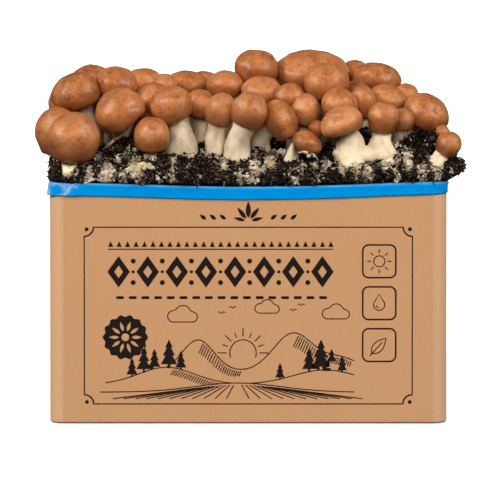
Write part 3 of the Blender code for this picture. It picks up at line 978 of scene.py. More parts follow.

# %% [markdown]
# ## Lumps of mycelium
#
# In some places the mycelium is a solid lump: a finger, a curl, a yellowish dome. Each is a cluster of little
# balls that fills a tilted oval, set down where the sight line through its pixel meets the bed. Remesh melts
# the balls of all the lumps into one skin, like cauliflower, and noise roughens it. The same noise darkens
# its hollows and lightens its knobs, as painted shade and painted light.

# %% Setting the lumps down
# column and row, half width and half height in pixels, tilt in degrees, how far proud, how yellow, and for
# the torn veil under the fallen cap its depth in millimetres
LUMPS = (
    (117.5, 160, 2.8, 8, -5, 0.5, 0.1), (136, 149, 6, 2.6, -35, 0.6, 0.2), (142, 167, 9, 6, 8, 0.3, 1),
    (108, 175, 11, 6, -10, 0.1, 0.15), (112, 166, 7, 2.4, 35, 0.3, 0.1), (90, 181, 8, 2.6, -15, 0.2, 0.1),
    (128, 171, 6, 5, 0, 0, 0.1), (173, 161, 2.4, 4.5, 10, 0.3, 0.1), (207, 154, 6, 2.2, -38, 0.3, 0.1),
    (219, 158, 4.2, 1.8, -42, 0.3, 0.1), (224, 165, 3.6, 2.8, 20, 0.4, 0.1), (229, 168, 2.2, 2.8, 0, 0.3, 0),
    (241, 175, 4, 3.2, 0, 0.1, 0.1), (253, 168, 5, 6.5, 0, 0.1, 0.15), (247, 176, 4.5, 3.2, 0, 0, 0),
    (256, 182, 6, 2.4, 0, 0.1, 0), (270, 164, 9, 3.4, 14, 0.1, 0.8), (281, 153, 5.5, 5, 0, 0.4, 0.05),
    (292, 155, 5, 4, 0, 0.2, 0), (304, 152.6, 6.5, 1.2, 4, 0, 0.45, -91),
    (313.5, 155.3, 4.6, 1.2, 46, 0, 0.45, -92), (317, 159, 2.2, 1, 72, 0, 0.45, -92),
    (308.5, 156, 3.6, 1.5, 14, 0, 0.4, -90), (296, 158, 5, 2.2, 0, 0.2, 0),
    (314, 165, 2.2, 3.4, 12, 0.6, 0.3), (331, 169, 7, 2.2, 20, 0.1, 0.1), (338, 156, 6.5, 6, 25, 0.2, 0),
    (350, 157, 11, 7, 0, 0.3, 0.05), (364, 154, 11, 7, 0, 0.3, 0.05), (379, 154, 11, 6, -8, 0.3, 0),
    (357, 166, 5, 6, 0, 0.1, 0.45), (369, 171, 3.6, 6, 0, 0.1, 0), (407, 155, 6.5, 4.2, 12, 0.7, 0.1),
    (409, 164, 4.6, 5, 0, 0.3, 0.4), (392, 163, 6, 2.8, -20, 0.2, 0.1), (386, 169, 4, 2.6, 0, 0.2, 0.1),
    (397, 181, 4, 2, 0, 0.2, 0), (430, 171, 8, 2.6, -5, 0.2, 0.1), (418, 168, 5, 2.6, 10, 0.2, 0.1),
    (441, 167, 3.6, 6, -10, 0.2, 0.1), (450, 172, 3, 2.4, 0, 0.2, 0.1), (433, 160, 5, 5, 20, 0.3, 0.1),
    (88, 158, 5, 2.2, 20, 0.3, 0.1), (97, 160, 6, 2.6, -10, 0.2, 0.1), (152, 169, 2.6, 3.6, 60, 0.2, 0.6),
    (77, 175, 4, 2, 30, 0.1, 0.1), (158, 178, 3, 4, 0, 0.1, 0), (191, 156, 4, 5, 0, 0.4, 0.7),
    (292, 178, 5, 2, 10, 0.1, 0), (322, 179, 4, 1.8, -20, 0.1, 0), (397, 146, 4, 6, -10, 0.2, 0),
)
BALLS_A_LUMP = 24
LUMP_VOXEL = 0.5 * MM
LUMP_ROUGH = 1.1 * MM
LUMP_ROUGH_SIZE = 2.6 * MM
LUMP_DEEP = 0.85
LUMP_FULL = 0.85
LUMP_OUT = 0.5 * MM
VEIL_BALL = (0.6, 0.9)
LUMP_BALL = (0.2, 0.45)

bpy.ops.mesh.primitive_ico_sphere_add(subdivisions=2, radius=1.0)
ball = bpy.context.object
ball_points, ball_faces = points_of(ball.data), [tuple(face.vertices) for face in ball.data.polygons]
bpy.data.objects.remove(ball, do_unlink=True)

rng = np.random.default_rng(17)
view_frame = np.array([(1, 0, 0), tuple(looking), tuple(view_up)])
points, faces, lump_spots, yellows = [], [], [], []
for column, row, half_wide, half_high, tilt, proud, yellow, *depth in LUMPS:
    place = point_at_depth(column, row, *depth) if depth else hit(bed_surface, column, row)[0]
    if place is None:
        continue
    thin = min(half_wide, half_high)
    middle = np.array(place - (LUMP_OUT + proud * thin * PIXEL) * looking)
    lean = math.radians(tilt)
    cos, sin = math.cos(lean), math.sin(lean)
    for number in range(BALLS_A_LUMP):
        way = rng.normal(size=3)
        way /= np.linalg.norm(way)
        along, deep, over = way * rng.random() ** 0.5 * (half_wide, LUMP_DEEP * thin, half_high) * LUMP_FULL
        spot = np.array((along * cos + over * sin, deep, over * cos - along * sin)) * PIXEL
        size = thin * PIXEL * rng.uniform(*(VEIL_BALL if depth else LUMP_BALL))
        start = len(points) * len(ball_points)
        points.append(middle + spot @ view_frame + ball_points * size * rng.uniform(0.7, 1.25, 3))
        faces.extend([tuple(start + corner for corner in face) for face in ball_faces])
    lump_spots.append((*place, PIXEL * half_wide, PIXEL * half_high, lean))
    yellows.append(yellow)
lumps = piece_of("mycelium_lumps", np.concatenate(points), faces)
apply_modifier(lumps, "REMESH", mode="VOXEL", voxel_size=LUMP_VOXEL)
apply_modifier(lumps, "SMOOTH", factor=0.5, iterations=2)
points = points_of(lumps.data)
rough = fractal_at(points, LUMP_ROUGH_SIZE, 0.8, 4)
set_points(lumps.data, points + (LUMP_ROUGH * rough)[:, None] * normals_of(lumps.data))
lump_spots = np.array(lump_spots)
nearest = np.array([np.argmin(((p - lump_spots[:, :3]) ** 2).sum(axis=1)) for p in points])
# The light number follows the roughening, so the hollows are darker and the knobs lighter: painted shade and
# painted light
lump_pale = np.clip(0.95 + 0.6 * rough, 0.35, 1.0)
finish_soil(lumps, lump_pale, unit(0.66 + 1.1 * rough), np.array(yellows)[nearest])

# %% [markdown]
# ### The shared base
#
# Two of the mushrooms in front grow out of one swollen base. It starts as a few overlapping balls. Remesh
# melts them into one skin, which is then smoothed.

# %% Melting the base
# column, row, depth, half width and half height in pixels, half depth in millimetres, tilt in degrees
BASE_BALLS = (
    (363, 156, -75, 20, 9, 9, 0), (347, 157, -76, 12, 9, 9, 12), (382, 155, -75, 11, 8, 8, -10),
    (351, 149, -74, 8, 12, 7, 16), (376, 147, -73, 8, 12, 7, -8), (336, 153, -75, 4.5, 4, 5, 30),
    (390, 154, -75, 5, 4, 5, 20), (362, 151, -74, 9, 6, 7, 0),
)
BASE_VOXEL = 0.9 * MM
BASE_SMOOTHING = 12
BASE_ROUGH = 0.7 * MM
BASE_ROUGH_SIZE = 5 * MM
BASE_RING = 5.6
BASE_STREAK = 12 * MM

balls = []
for column, row, depth, half_wide, half_high, half_deep, tilt in BASE_BALLS:
    bpy.ops.mesh.primitive_ico_sphere_add(subdivisions=4, radius=1.0)
    ball = bpy.context.object
    choose(ball)
    bpy.ops.transform.resize(value=(half_wide * PIXEL, half_deep * MM, half_high * PIXEL))
    bpy.ops.transform.rotate(value=math.radians(tilt), orient_axis="Y", center_override=(0, 0, 0))
    bpy.ops.transform.translate(value=point_at_depth(column, row, depth))
    close_edit()
    balls.append(ball)
bpy.ops.object.select_all(action="DESELECT")
for ball in balls:
    ball.select_set(True)
bpy.context.view_layer.objects.active = balls[0]
bpy.ops.object.join()
base = balls[0]
base.name = "shared_base"
apply_modifier(base, "REMESH", mode="VOXEL", voxel_size=BASE_VOXEL)
apply_modifier(base, "SMOOTH", factor=0.5, iterations=BASE_SMOOTHING)
points = points_of(base.data)
rough = fractal_at(points, BASE_ROUGH_SIZE)
set_points(base.data, points + (BASE_ROUGH * rough)[:, None] * normals_of(base.data))
# A sheltered value of 0.1 gives the whole base a little painted shade
for name, value in (("ring", BASE_RING), ("tone", 0.0), ("sheltered", 0.1)):
    paint(base.data, name, value)
paint(base.data, "spin", points / BASE_STREAK)
finish_piece(base, mushroom_skin, "mushroom_skin")

# %% [markdown]
# ## Crumbs
#
# What makes soil look like soil is thousands of loose crumbs. A crumb is a small rough ball, modelled a few
# times over. `strew` drops copies of it at places spread evenly over the bed, each turned and stretched its
# own way, and joins them in one mesh.

# %% Crumb shapes
def crumb_shapes(count, rough, seed, **ball):
    """Rough little balls of radius one, each as an array of points and a list of faces."""
    shapes = []
    for number in range(count):
        if ball:
            bpy.ops.mesh.primitive_uv_sphere_add(radius=1.0, **ball)
        else:
            bpy.ops.mesh.primitive_ico_sphere_add(subdivisions=1, radius=1.0)
        model = bpy.context.object
        edit(bpy.ops.transform.vertex_random, model, offset=rough, seed=seed + number)
        faces = [tuple(face.vertices) for face in model.data.polygons]
        shapes.append((points_of(model.data), faces))
        bpy.data.objects.remove(model, do_unlink=True)
    return shapes


small_crumbs = crumb_shapes(7, 0.35, 21)
big_crumbs = crumb_shapes(7, 0.3, 41, segments=7, ring_count=5)
print("crumb shapes of", len(small_crumbs[0][1]), "and", len(big_crumbs[0][1]), "faces")


# %% Places on the bed
# Crumbs keep off faces whose normal points down by more than this
LIP_DOWN = -0.25


def bed_places(count, seed, wanted):
    """Places spread by area over the open soil where wanted says yes, each with the normal there."""
    bed.data.calc_loop_triangles()
    corners = np.array([t.vertices for t in bed.data.loop_triangles])
    points = points_of(bed.data)[corners]
    cross = np.cross(points[:, 1] - points[:, 0], points[:, 2] - points[:, 0])
    area = np.linalg.norm(cross, axis=1)
    centre = points.mean(axis=1)
    normal = cross / np.maximum(area, 1e-12)[:, None]
    weight = area * (centre[:, 2] > OPEN_SOIL) * (normal[:, 2] > LIP_DOWN) * wanted(centre)
    rng = np.random.default_rng(seed)
    chosen = rng.choice(len(area), size=count, p=weight / weight.sum())
    share = rng.random((count, 2))
    share = np.where(share.sum(axis=1)[:, None] > 1, 1 - share, share)
    one, two, three = (points[chosen, corner] for corner in range(3))
    return one + share[:, :1] * (two - one) + share[:, 1:] * (three - one), normal[chosen], rng


def turns(count, rng):
    """Random rotations, as an array of matrices."""
    quats = rng.normal(size=(count, 4))
    quats /= np.linalg.norm(quats, axis=1)[:, None]
    w, x, y, z = quats.T
    rows = [
        [1 - 2 * (y * y + z * z), 2 * (x * y - z * w), 2 * (x * z + y * w)],
        [2 * (x * y + z * w), 1 - 2 * (x * x + z * z), 2 * (y * z - x * w)],
        [2 * (x * z - y * w), 2 * (y * z + x * w), 1 - 2 * (x * x + y * y)],
    ]
    return np.array(rows).transpose(2, 0, 1)


def strew(name, shapes, places, sizes, stretch, rng):
    """One mesh of many copies: each takes a shape, a size, a stretch and a turn of its own."""
    spin = turns(len(places), rng)
    points, faces, owner = [], [], []
    start = 0
    for index, place in enumerate(places):
        shape, shape_faces = shapes[index % len(shapes)]
        points.append(place + (shape * sizes[index] * stretch[index]) @ spin[index].T)
        faces.extend([tuple(start + corner for corner in face) for face in shape_faces])
        owner.extend([index] * len(shape))
        start += len(shape)
    return piece_of(name, np.concatenate(points), faces), np.array(owner)


# %% Clods of crumbs
KEEP_OFF = 0.97
NEAR_LUMP = 16 * MM
# Feet and bases that crumbs would hide: column and row, half width and half height in pixels, depth
BARE = ((363, 156, 27, 7.5, -82), (67, 169, 8.5, 8, -96), (207, 154, 3, 3, -60), (236, 156, 11, 4, -70))
LARGEST = 2.1
SLIVERS = 0.2
SLIVER_STRETCH = (2.6, 0.42, 0.42)
CLOD_REACH = 1.9 * MM
# How far a crumb stands out, as a share of its size
RAISED = 0.35
# How many crumbs thin mycelium misses, how sharp its edge is, and how many crumbs are pale by themselves
SKIPPED = 0.62
PALE_CONTRAST = 2.4
STRAY_PALE = 0.06
# name, shapes, how many crumbs, crumbs a clod, seed, smallest and middle radius in millimetres, where
CRUMB_LAYERS = (
    ("soil_crumbs_fine", small_crumbs, 8000, 1, 1, 0.28, 0.55, lambda c: np.ones(len(c))),
    ("soil_crumbs_front", small_crumbs, 9800, 9, 2, 0.32, 0.6, lambda c: (c[:, 1] < -0.05) * 1.0),
    ("soil_crumbs_heaped", small_crumbs, 9800, 12, 4, 0.36, 0.72, lambda c: 0.35 + 1.0 * (c[:, 1] < -0.03)),
    ("soil_crumbs_strewn", small_crumbs, 8400, 4, 5, 0.28, 0.5, lambda c: (c[:, 1] < -0.06) * 1.0),
    ("soil_crumbs_coarse", big_crumbs, 3000, 3, 3, 0.6, 1.0, lambda c: 1.0 + 1.2 * (c[:, 1] < -0.055)),
)


def color_crumbs(places, rng):
    """Whole crumbs are pale or dark. Where the mycelium is thin, only some of them are pale."""
    count = len(places)
    pale = unit((paleness(places) - SKIPPED * rng.random(count)) * PALE_CONTRAST)
    pale *= rng.uniform(0.6, 1.0, count)
    pale = np.maximum(pale, (rng.random(count) < STRAY_PALE) * rng.uniform(0.2, 0.9, count))
    return pale, unit(rng.normal(0.45, 0.27, count)), yellowness(places)


for column, row, half_wide, half_high, depth in BARE:
    place = point_at_depth(column, row, depth)
    lump_spots = np.vstack([lump_spots, (*place, PIXEL * half_wide, PIXEL * half_high, 0.0)])


def off_lumps(places):
    """Less where a lump of mycelium lies, so that the crumbs leave it bare."""
    off = places[:, None, :] - lump_spots[:, :3]
    across, up, deep = off[:, :, 0], off @ UP_VIEW, off @ INTO_VIEW
    cos, sin = np.cos(lump_spots[:, 5]), np.sin(lump_spots[:, 5])
    along = (across * cos - up * sin) / lump_spots[:, 3]
    over = (across * sin + up * cos) / lump_spots[:, 4]
    return 1 - KEEP_OFF * ((along**2 + over**2 < 1) & (np.abs(deep) < NEAR_LUMP)).any(axis=1)


def clods_of(count, crumbs_each, seed, wanted):
    """Places for crumbs that stick together in clods, each clod a little heap on the bed."""
    centres, normals, rng = bed_places(count // crumbs_each, seed, lambda c: wanted(c) * off_lumps(c))
    owner = np.repeat(np.arange(len(centres)), crumbs_each)
    ball = rng.normal(size=(len(owner), 3))
    ball /= np.linalg.norm(ball, axis=1)[:, None]
    reach = CLOD_REACH * (0.6 + 0.9 * rng.random(len(centres)))[owner] * rng.random(len(owner)) ** 0.4
    if crumbs_each == 1:
        reach[:] = 0
    places = centres[owner] + ball * reach[:, None]
    places += normals[owner] * (np.abs(ball[:, 2]) * reach * 0.4)[:, None]
    return places, normals[owner], rng


for name, shapes, count, crumbs_each, seed, smallest, size, where in CRUMB_LAYERS:
    places, normals, rng = clods_of(count, crumbs_each, seed, where)
    count = len(places)
    sizes = np.minimum(smallest + rng.gamma(2.0, (size - smallest) / 2.0, count), LARGEST) * MM
    stretch = rng.uniform(0.6, 1.25, (count, 3))
    sliver = rng.random(count) < SLIVERS
    stretch[sliver] *= SLIVER_STRETCH
    piece, owner = strew(name, shapes, places + normals * sizes[:, None] * RAISED, sizes, stretch, rng)
    finish_soil(piece, *(values[owner] for values in color_crumbs(places, rng)), smooth=False)

# %% [markdown]
# ### Threads
#
# Between the lumps the mycelium spreads as fine threads. Each one is a thin three-sided tube that wanders
# over the bed. A few thick strands lie where the picture shows them.

# %% Spinning the threads
THREADS = 1500
THREAD_STEPS = 7
THREAD_STEP = 0.9 * MM
THREAD_RADIUS = 0.11 * MM
THREADS_LEFT = -144 * MM
THREADS_RIGHT = 156 * MM
THREADS_DEEP = 95 * MM

# Each strand's radius in millimetres, and the pixels that it runs through
STRANDS = (
    (0.6, (301, 161), (303, 164), (307, 167), (311, 170), (314, 174), (317, 178), (320, 182)),
    (0.38, (287, 170), (289, 173), (290, 176), (292, 178), (294, 181), (296, 183), (299, 184)),
    (0.55, (244, 156), (242, 159), (240, 162), (237, 164), (235, 167), (232, 168), (229, 168)),
    (0.45, (268, 166), (264, 168), (261, 171), (257, 172), (254, 176), (250, 178), (247, 182)),
    (0.5, (209, 152), (207, 155), (205, 157), (203, 158), (201, 160), (199, 163), (198, 165)),
    (0.45, (418, 160), (421, 163), (425, 165), (430, 166), (434, 169), (439, 170), (443, 174)),
    (0.5, (172, 157), (173, 161), (172, 165), (173, 169), (174, 173), (173, 177), (175, 181)),
    (0.45, (385, 163), (389, 165), (392, 169), (396, 171), (399, 175), (401, 179), (404, 182)),
)
STRAND_OUT = 2.3 * MM

starts, normals, rng = bed_places(THREADS, 6, lambda c: np.clip(paleness(c), 0.02, 1.0) ** 2)
runs = []
for start, normal in zip(starts, normals):
    heading = rng.uniform(0, math.tau)
    lift = rng.uniform(0.6, 1.6) * MM
    place = start.copy()
    path = []
    for step in range(THREAD_STEPS):
        path.append(place + normal * lift * math.sin(math.pi * (step + 0.5) / THREAD_STEPS))
        heading += rng.normal(0, 0.6)
        place = place + THREAD_STEP * np.array([math.cos(heading), math.sin(heading), 0])
    thick = THREAD_RADIUS * rng.uniform(0.6, 1.7)
    if all(THREADS_LEFT < spot[0] < THREADS_RIGHT and abs(spot[1]) < THREADS_DEEP for spot in path):
        runs.append((path, heading, thick))
for radius, *pixels in STRANDS:
    found = [hit(bed_surface, column, row)[0] for column, row in pixels]
    if None not in found:
        runs.append(([np.array(place - STRAND_OUT * looking) for place in found], math.pi / 2, radius * MM))
points, faces = [], []
for path, heading, radius in runs:
    first = len(points)
    for step, middle in enumerate(path):
        thin = radius * (0.35 if step in (0, THREAD_STEPS - 1) else 1.0)
        side = np.array([-math.sin(heading), math.cos(heading), 0])
        for corner in range(3):
            turn = math.tau * corner / 3
            points.append(middle + thin * (math.cos(turn) * side + math.sin(turn) * np.array([0, 0, 1.0])))
    for step in range(THREAD_STEPS - 1):
        for corner in range(3):
            one, other = first + 3 * step + corner, first + 3 * step + (corner + 1) % 3
            faces.append((one, other, other + 3, one + 3))
    faces.append((first + 2, first + 1, first))
    last = first + 3 * (THREAD_STEPS - 1)
    faces.append((last, last + 1, last + 2))
threads = piece_of("mycelium_threads", points, faces)
edit(bpy.ops.mesh.normals_make_consistent, threads, inside=False)
finish_soil(threads, 1.0, 0.9, 0.1)

# %% [markdown]
# ## Kraft carton
#
# The carton is folded from corrugated kraft board, glued along an upright seam at the back and closed
# underneath by two long flaps. It begins as a cube the size of the solid. The upright edges and the foot are
# rounded, the lid is taken off, and Solidify gives the board its thickness.

# %% Kraft finish
KRAFT_DARK = (0.54, 0.27, 0.124)
KRAFT = (0.645, 0.336, 0.159)
KRAFT_LIGHT = (0.765, 0.436, 0.232)
# Rubbed wear and painted light on the rounded corners
KRAFT_WORN_AND_LIT = (0.8, 0.49, 0.28)
# Painted shade along the carton's foot, where it meets the floor
KRAFT_FOOT_SHADE = (0.12, 0.065, 0.045)

kraft_board, tree, shader = new_finish("kraft_board", 0.82, Specular_IOR_Level=0.3)
place = place_in_kit(tree)
drift = cloud(place, 14.0, 2.0)
fibre = cloud(stretched(place, (1.0, 1.0, 3.2)), 620.0, 4.0, 0.7)
speck = cloud(place, 1500.0, 2.0)
mix = add_up((drift, 0.12), (fibre, 0.88))
board = ramp(mix, (0.15, KRAFT_DARK), (0.5, KRAFT), (0.88, KRAFT_LIGHT))
board = tint(remap(speck, 0.62, 0.72, 0.0, 0.22), board, KRAFT_DARK)
# Lighter on the rounded corners: partly rubbed wear, partly painted light where the corners turn to the side
# lamps
worn = calc("MULTIPLY", attribute(tree, "worn"), remap(fibre, 0.35, 0.65, 0.5, 1.0))
board = tint(worn, board, KRAFT_WORN_AND_LIT)
# The foot of the board is darkened as painted shade
plug(tint(attribute(tree, "painted_foot_shade"), board, KRAFT_FOOT_SHADE), shader, "Base Color")
bump(shader, add_up(fibre, (speck, 0.4)), 0.12 * MM, 0.7)
print("the kraft finish reads worn and grimy")

# %% Folding the carton
BOARD = 3.5 * MM
CORNER_RADIUS = 11.0 * MM
CORNER_STEPS = 8
FOOT_RADIUS = 1.5 * MM
FOOT_STEPS = 3
FRONT_DIP = 3.0 * MM
BACK_DIP = 1.5 * MM
PANEL_CUTS = 15
FLAP_GAP = 0.7 * MM
FLAP_DEPTH = 0.9 * MM
GROOVE_EDGE = 0.15 * MM
EDGE_ROUND = 0.35 * MM
SEAM_PLACE = 134 * MM
# A face looks along an axis when its normal has more than this of it
FACING = 0.9

carton_low, carton_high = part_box("carton")
carton_size = carton_high - carton_low
HALF_WIDE = carton_size.x / 2
HALF_DEEP = carton_size.y / 2
TALL = carton_size.z


def panel_dip(points):
    """How far the rim sags at each point, most in the middle of the front."""
    towards_back = 0.5 + np.clip(points[:, 1] / carton_size.y, -0.5, 0.5)
    deepest = FRONT_DIP + (BACK_DIP - FRONT_DIP) * towards_back
    return deepest * np.cos(math.pi * np.clip(points[:, 0] / carton_size.x, -0.5, 0.5)) ** 2


def is_upright(edge, mesh):
    one, other = (mesh.vertices[index].co for index in edge.vertices)
    return abs(one.z - other.z) > TALL / 2


bpy.ops.mesh.primitive_cube_add(size=1.0)
carton = bpy.context.object
carton.name = "carton_shell"
edit(bpy.ops.transform.resize, carton, value=carton_size)
edit(bpy.ops.transform.translate, carton, value=(0, 0, TALL / 2))
uprights = carton, "EDGE", lambda edge: is_upright(edge, carton.data)
edit(bpy.ops.mesh.bevel, *uprights, offset=CORNER_RADIUS, segments=CORNER_STEPS, affect="EDGES")
edit(bpy.ops.mesh.delete, carton, "FACE", lambda face: face.normal.z > FACING, type="FACE")
foot = carton, "EDGE", lambda edge: all(carton.data.vertices[p].co.z < MERGE for p in edge.vertices)
edit(bpy.ops.mesh.bevel, *foot, offset=FOOT_RADIUS, segments=FOOT_STEPS, affect="EDGES")
print(f"carton {carton_size.x / MM:.0f} x {carton_size.y / MM:.0f} x {TALL / MM:.0f} mm")

# %% Cuts, flaps and board
for number in range(1, PANEL_CUTS):
    across = -HALF_WIDE + CORNER_RADIUS + (carton_size.x - 2 * CORNER_RADIUS) * number / PANEL_CUTS
    edit(bpy.ops.mesh.bisect, carton, plane_co=(across, 0, 0), plane_no=(1, 0, 0))
for side in (-FLAP_GAP, FLAP_GAP):
    edit(bpy.ops.mesh.bisect, carton, plane_co=(0, side, 0), plane_no=(0, 1, 0))
for side in (-FLAP_GAP, FLAP_GAP):
    back = carton, "FACE", lambda face: face.normal.y > FACING
    edit(bpy.ops.mesh.bisect, *back, plane_co=(SEAM_PLACE + side, 0, 0), plane_no=(1, 0, 0))


def in_groove(face):
    between_flaps = face.normal.z < -FACING and abs(face.center.y) < FLAP_GAP
    return between_flaps or (face.normal.y > FACING and abs(face.center.x - SEAM_PLACE) < FLAP_GAP)


edit(bpy.ops.mesh.inset, carton, "FACE", in_groove, thickness=GROOVE_EDGE, depth=-FLAP_DEPTH)
points = points_of(carton.data)
at_rim = points[:, 2] > TALL - MERGE
points[at_rim, 2] -= panel_dip(points)[at_rim]
set_points(carton.data, points)
apply_modifier(carton, "SOLIDIFY", thickness=BOARD, offset=-1.0, use_even_offset=True)
sharp = {"limit_method": "ANGLE", "angle_limit": math.radians(50)}
apply_modifier(carton, "BEVEL", width=EDGE_ROUND, segments=2, **sharp)
points = points_of(carton.data)
points[:, 2] = np.maximum(points[:, 2], 0.0)
set_points(carton.data, points)
print(f"board {BOARD / MM:.1f} mm thick, {len(points)} points")

# %% Wear and painted light along the folds, painted shade at the foot
WEAR_AND_LIGHT_REACH = 3.2 * MM
WEAR_AND_LIGHT_MOST = 0.85
FOOT_SHADE_MOST = 0.95

beyond_x = np.abs(points[:, 0]) - (HALF_WIDE - CORNER_RADIUS)
beyond_y = np.abs(points[:, 1]) - (HALF_DEEP - CORNER_RADIUS)
into_corner = np.hypot(np.maximum(beyond_x, 0), np.maximum(beyond_y, 0))
# The rounded corners: rubbed wear and painted light
worn = unit(np.minimum(beyond_x, beyond_y) / WEAR_AND_LIGHT_REACH) * (into_corner > CORNER_RADIUS * 0.9)
paint(carton.data, "worn", WEAR_AND_LIGHT_MOST * worn)
# The lowest millimetre and a half of the board is darkened as painted shade of the floor contact
paint(carton.data, "painted_foot_shade", FOOT_SHADE_MOST * unit(1 - points[:, 2] / FOOT_RADIUS))
finish_piece(carton, kraft_board, "kraft_board", "carton")
# The large flat faces keep their own normals, so that the small bevels don't shade the whole panel
apply_modifier(carton, "WEIGHTED_NORMAL", mode="FACE_AREA", weight=100)

# %% [markdown]
# ## Blue film
#
# The film is one long strip, folded over the rim. So it starts as a flat grid, as long as the way round the
# carton, and each row of its points is laid round the rim: up the outside, over the board, and down the
# inside. Loose film never lies flat. Soft noise gives it shallow waves, and the left-hand corner, where it
# was pulled by hand, is crumpled and stands off the board.

# %% Film finish
FILM_BLUE = (0.0, 0.31, 0.79)
FILM_DEEP = (0.0, 0.275, 0.72)
# The colour of the painted highlight along the top of the fold
FILM_HIGHLIGHT = (0.1, 0.47, 0.86)
FILM_WHITE = (0.58, 0.74, 0.88)

blue_film, tree, shader = new_finish("blue_film", 0.26, Specular_IOR_Level=0.08)
place = place_in_kit(tree)
waves = cloud(stretched(place, (1.0, 1.0, 2.5)), 60.0)
threads = cloud(stretched(place, (1.0, 1.0, 0.5)), 420.0, 5.0, 0.75)
blue = ramp(waves, (0.3, FILM_DEEP), (0.65, FILM_BLUE))
white = calc("MULTIPLY", attribute(tree, "crumpled"), remap(threads, 0.38, 0.58, 0.45, 1.0))
# A painted highlight runs along the top of the fold
blue = tint(attribute(tree, "fold_highlight"), blue, FILM_HIGHLIGHT)
plug(tint(white, blue, FILM_WHITE), shader, "Base Color")
bump(shader, add_up(waves, (threads, 0.15)), 0.6 * MM, 0.5)
print("the film finish reads crumpled and folded")

# %% Folding the film over the rim
FILM = 0.45 * MM
FILM_ALONG = 640
FILM_OUT = 0.95 * MM
FILM_HEM = 9.0 * MM
FILM_INSIDE = 8.0 * MM
HEM_EXTRA = 0.75 * MM
FILM_TOP = TALL + HEM_EXTRA
FILM_FOLD = 1.3 * MM
WAVE = 0.22 * MM
WAVE_SIZE = 16.0 * MM
CRUMPLE = 0.6 * MM
CRUMPLE_SIZE = 4.0 * MM
CRUMPLE_END = -126.0 * MM
CRUMPLE_FADE = 14 * MM
CRUMPLE_DEEP = 60 * MM
FLARE = 2.6 * MM
FLARE_BELOW = 2 * MM
FLARE_TALL = 8 * MM
FLARE_MEAN = 0.35
FLARE_RAGGED = 1.2
WAVE_SQUASH = 1.6
LIFT_LEAST = -0.3 * MM
RIGHT_FROM = 60 * MM
RIGHT_RISE = 1.4 * MM
# Where the film has gone white: its loose end, and creases between two pixels with a strength
END_FROM = 51.5
END_FADE = 3.5
END_DEEP = -74.0
END_WHITE = 0.75
END_RAGGED = 18
END_SOFT = 9
CREASE_WIDE = 1.3
# How strong the painted highlight along the top of the film's fold is, and how wide that line is
RIDGE_HIGHLIGHT = 0.75
RIDGE_WIDE = 1.0 * MM
CREASES = (
    ((74, 184), (64, 196), 0.7), ((60, 184), (69, 191), 0.55), ((66, 185), (77, 187), 0.45),
    ((63, 195), (57, 197), 0.35), ((69, 188), (64, 190), 0.5), ((52, 185), (57, 183), 0.4),
)


def way_round(share):
    """A point on the carton's outline and the way out from it, for a share of the whole way round."""
    straight_x = 2 * (HALF_WIDE - CORNER_RADIUS)
    straight_y = 2 * (HALF_DEEP - CORNER_RADIUS)
    arc = math.pi / 2 * CORNER_RADIUS
    left = share * (2 * straight_x + 2 * straight_y + 4 * arc)
    turned = 0.0
    corner = Vector((-straight_x / 2, straight_y / 2))
    for side in (straight_x, straight_y, straight_x, straight_y):
        ahead = Vector((math.cos(turned), math.sin(turned)))
        out = Vector((-ahead.y, ahead.x))
        if left <= side:
            return corner + ahead * left + out * CORNER_RADIUS, out
        left -= side
        corner = corner + ahead * side
        if left <= arc:
            lean = math.pi / 2 * left / arc
            out = Vector((math.cos(turned + math.pi / 2 - lean), math.sin(turned + math.pi / 2 - lean)))
            return corner + out * CORNER_RADIUS, out
        left -= arc
        turned -= math.pi / 2
    return corner + Vector((0, CORNER_RADIUS)), Vector((0, 1))


# The strip seen from its end: how far out of the board's face and how high, from hem to hem
over = BOARD + 2 * FILM_OUT
hem = FILM_TOP - FILM_HEM - HEM_EXTRA
rise = FILM_HEM - FILM_FOLD + HEM_EXTRA
outer = [(FILM_OUT, hem + t * rise) for t in np.linspace(0, 1, 10)]
bend_out = [
    (FILM_OUT - FILM_FOLD * (1 - math.cos(a)), FILM_TOP - FILM_FOLD * (1 - math.sin(a)))
    for a in np.linspace(0.2, math.pi / 2, 5)
]
bend_in = [(2 * FILM_OUT - over - x, z) for x, z in reversed(bend_out)]
inner = [(FILM_OUT - over, FILM_TOP - FILM_FOLD - t * FILM_INSIDE) for t in np.linspace(0, 1, 8)]
profile = outer + bend_out + bend_in + inner
bpy.ops.mesh.primitive_grid_add(x_subdivisions=FILM_ALONG, y_subdivisions=len(profile) - 1, size=1.0)
film = bpy.context.object
film.name = "film_collar"
flat = points_of(film.data)
points = np.zeros_like(flat)
heading = np.zeros_like(flat)
for index, (along, across, _) in enumerate(flat):
    place, out = way_round(min(1.0, max(0.0, along + 0.5)))
    off, height = profile[round((across + 0.5) * (len(profile) - 1))]
    points[index] = (*(place + out * off), height)
    heading[index] = (*out, 0)
points[:, 2] -= panel_dip(points)
towards_right = unit((points[:, 0] - RIGHT_FROM) / (HALF_WIDE - RIGHT_FROM))
points[:, 2] += RIGHT_RISE * towards_right**2 * unit(0.5 - points[:, 1] / HALF_DEEP)
print(f"strip of {FILM_ALONG} steps round the rim")

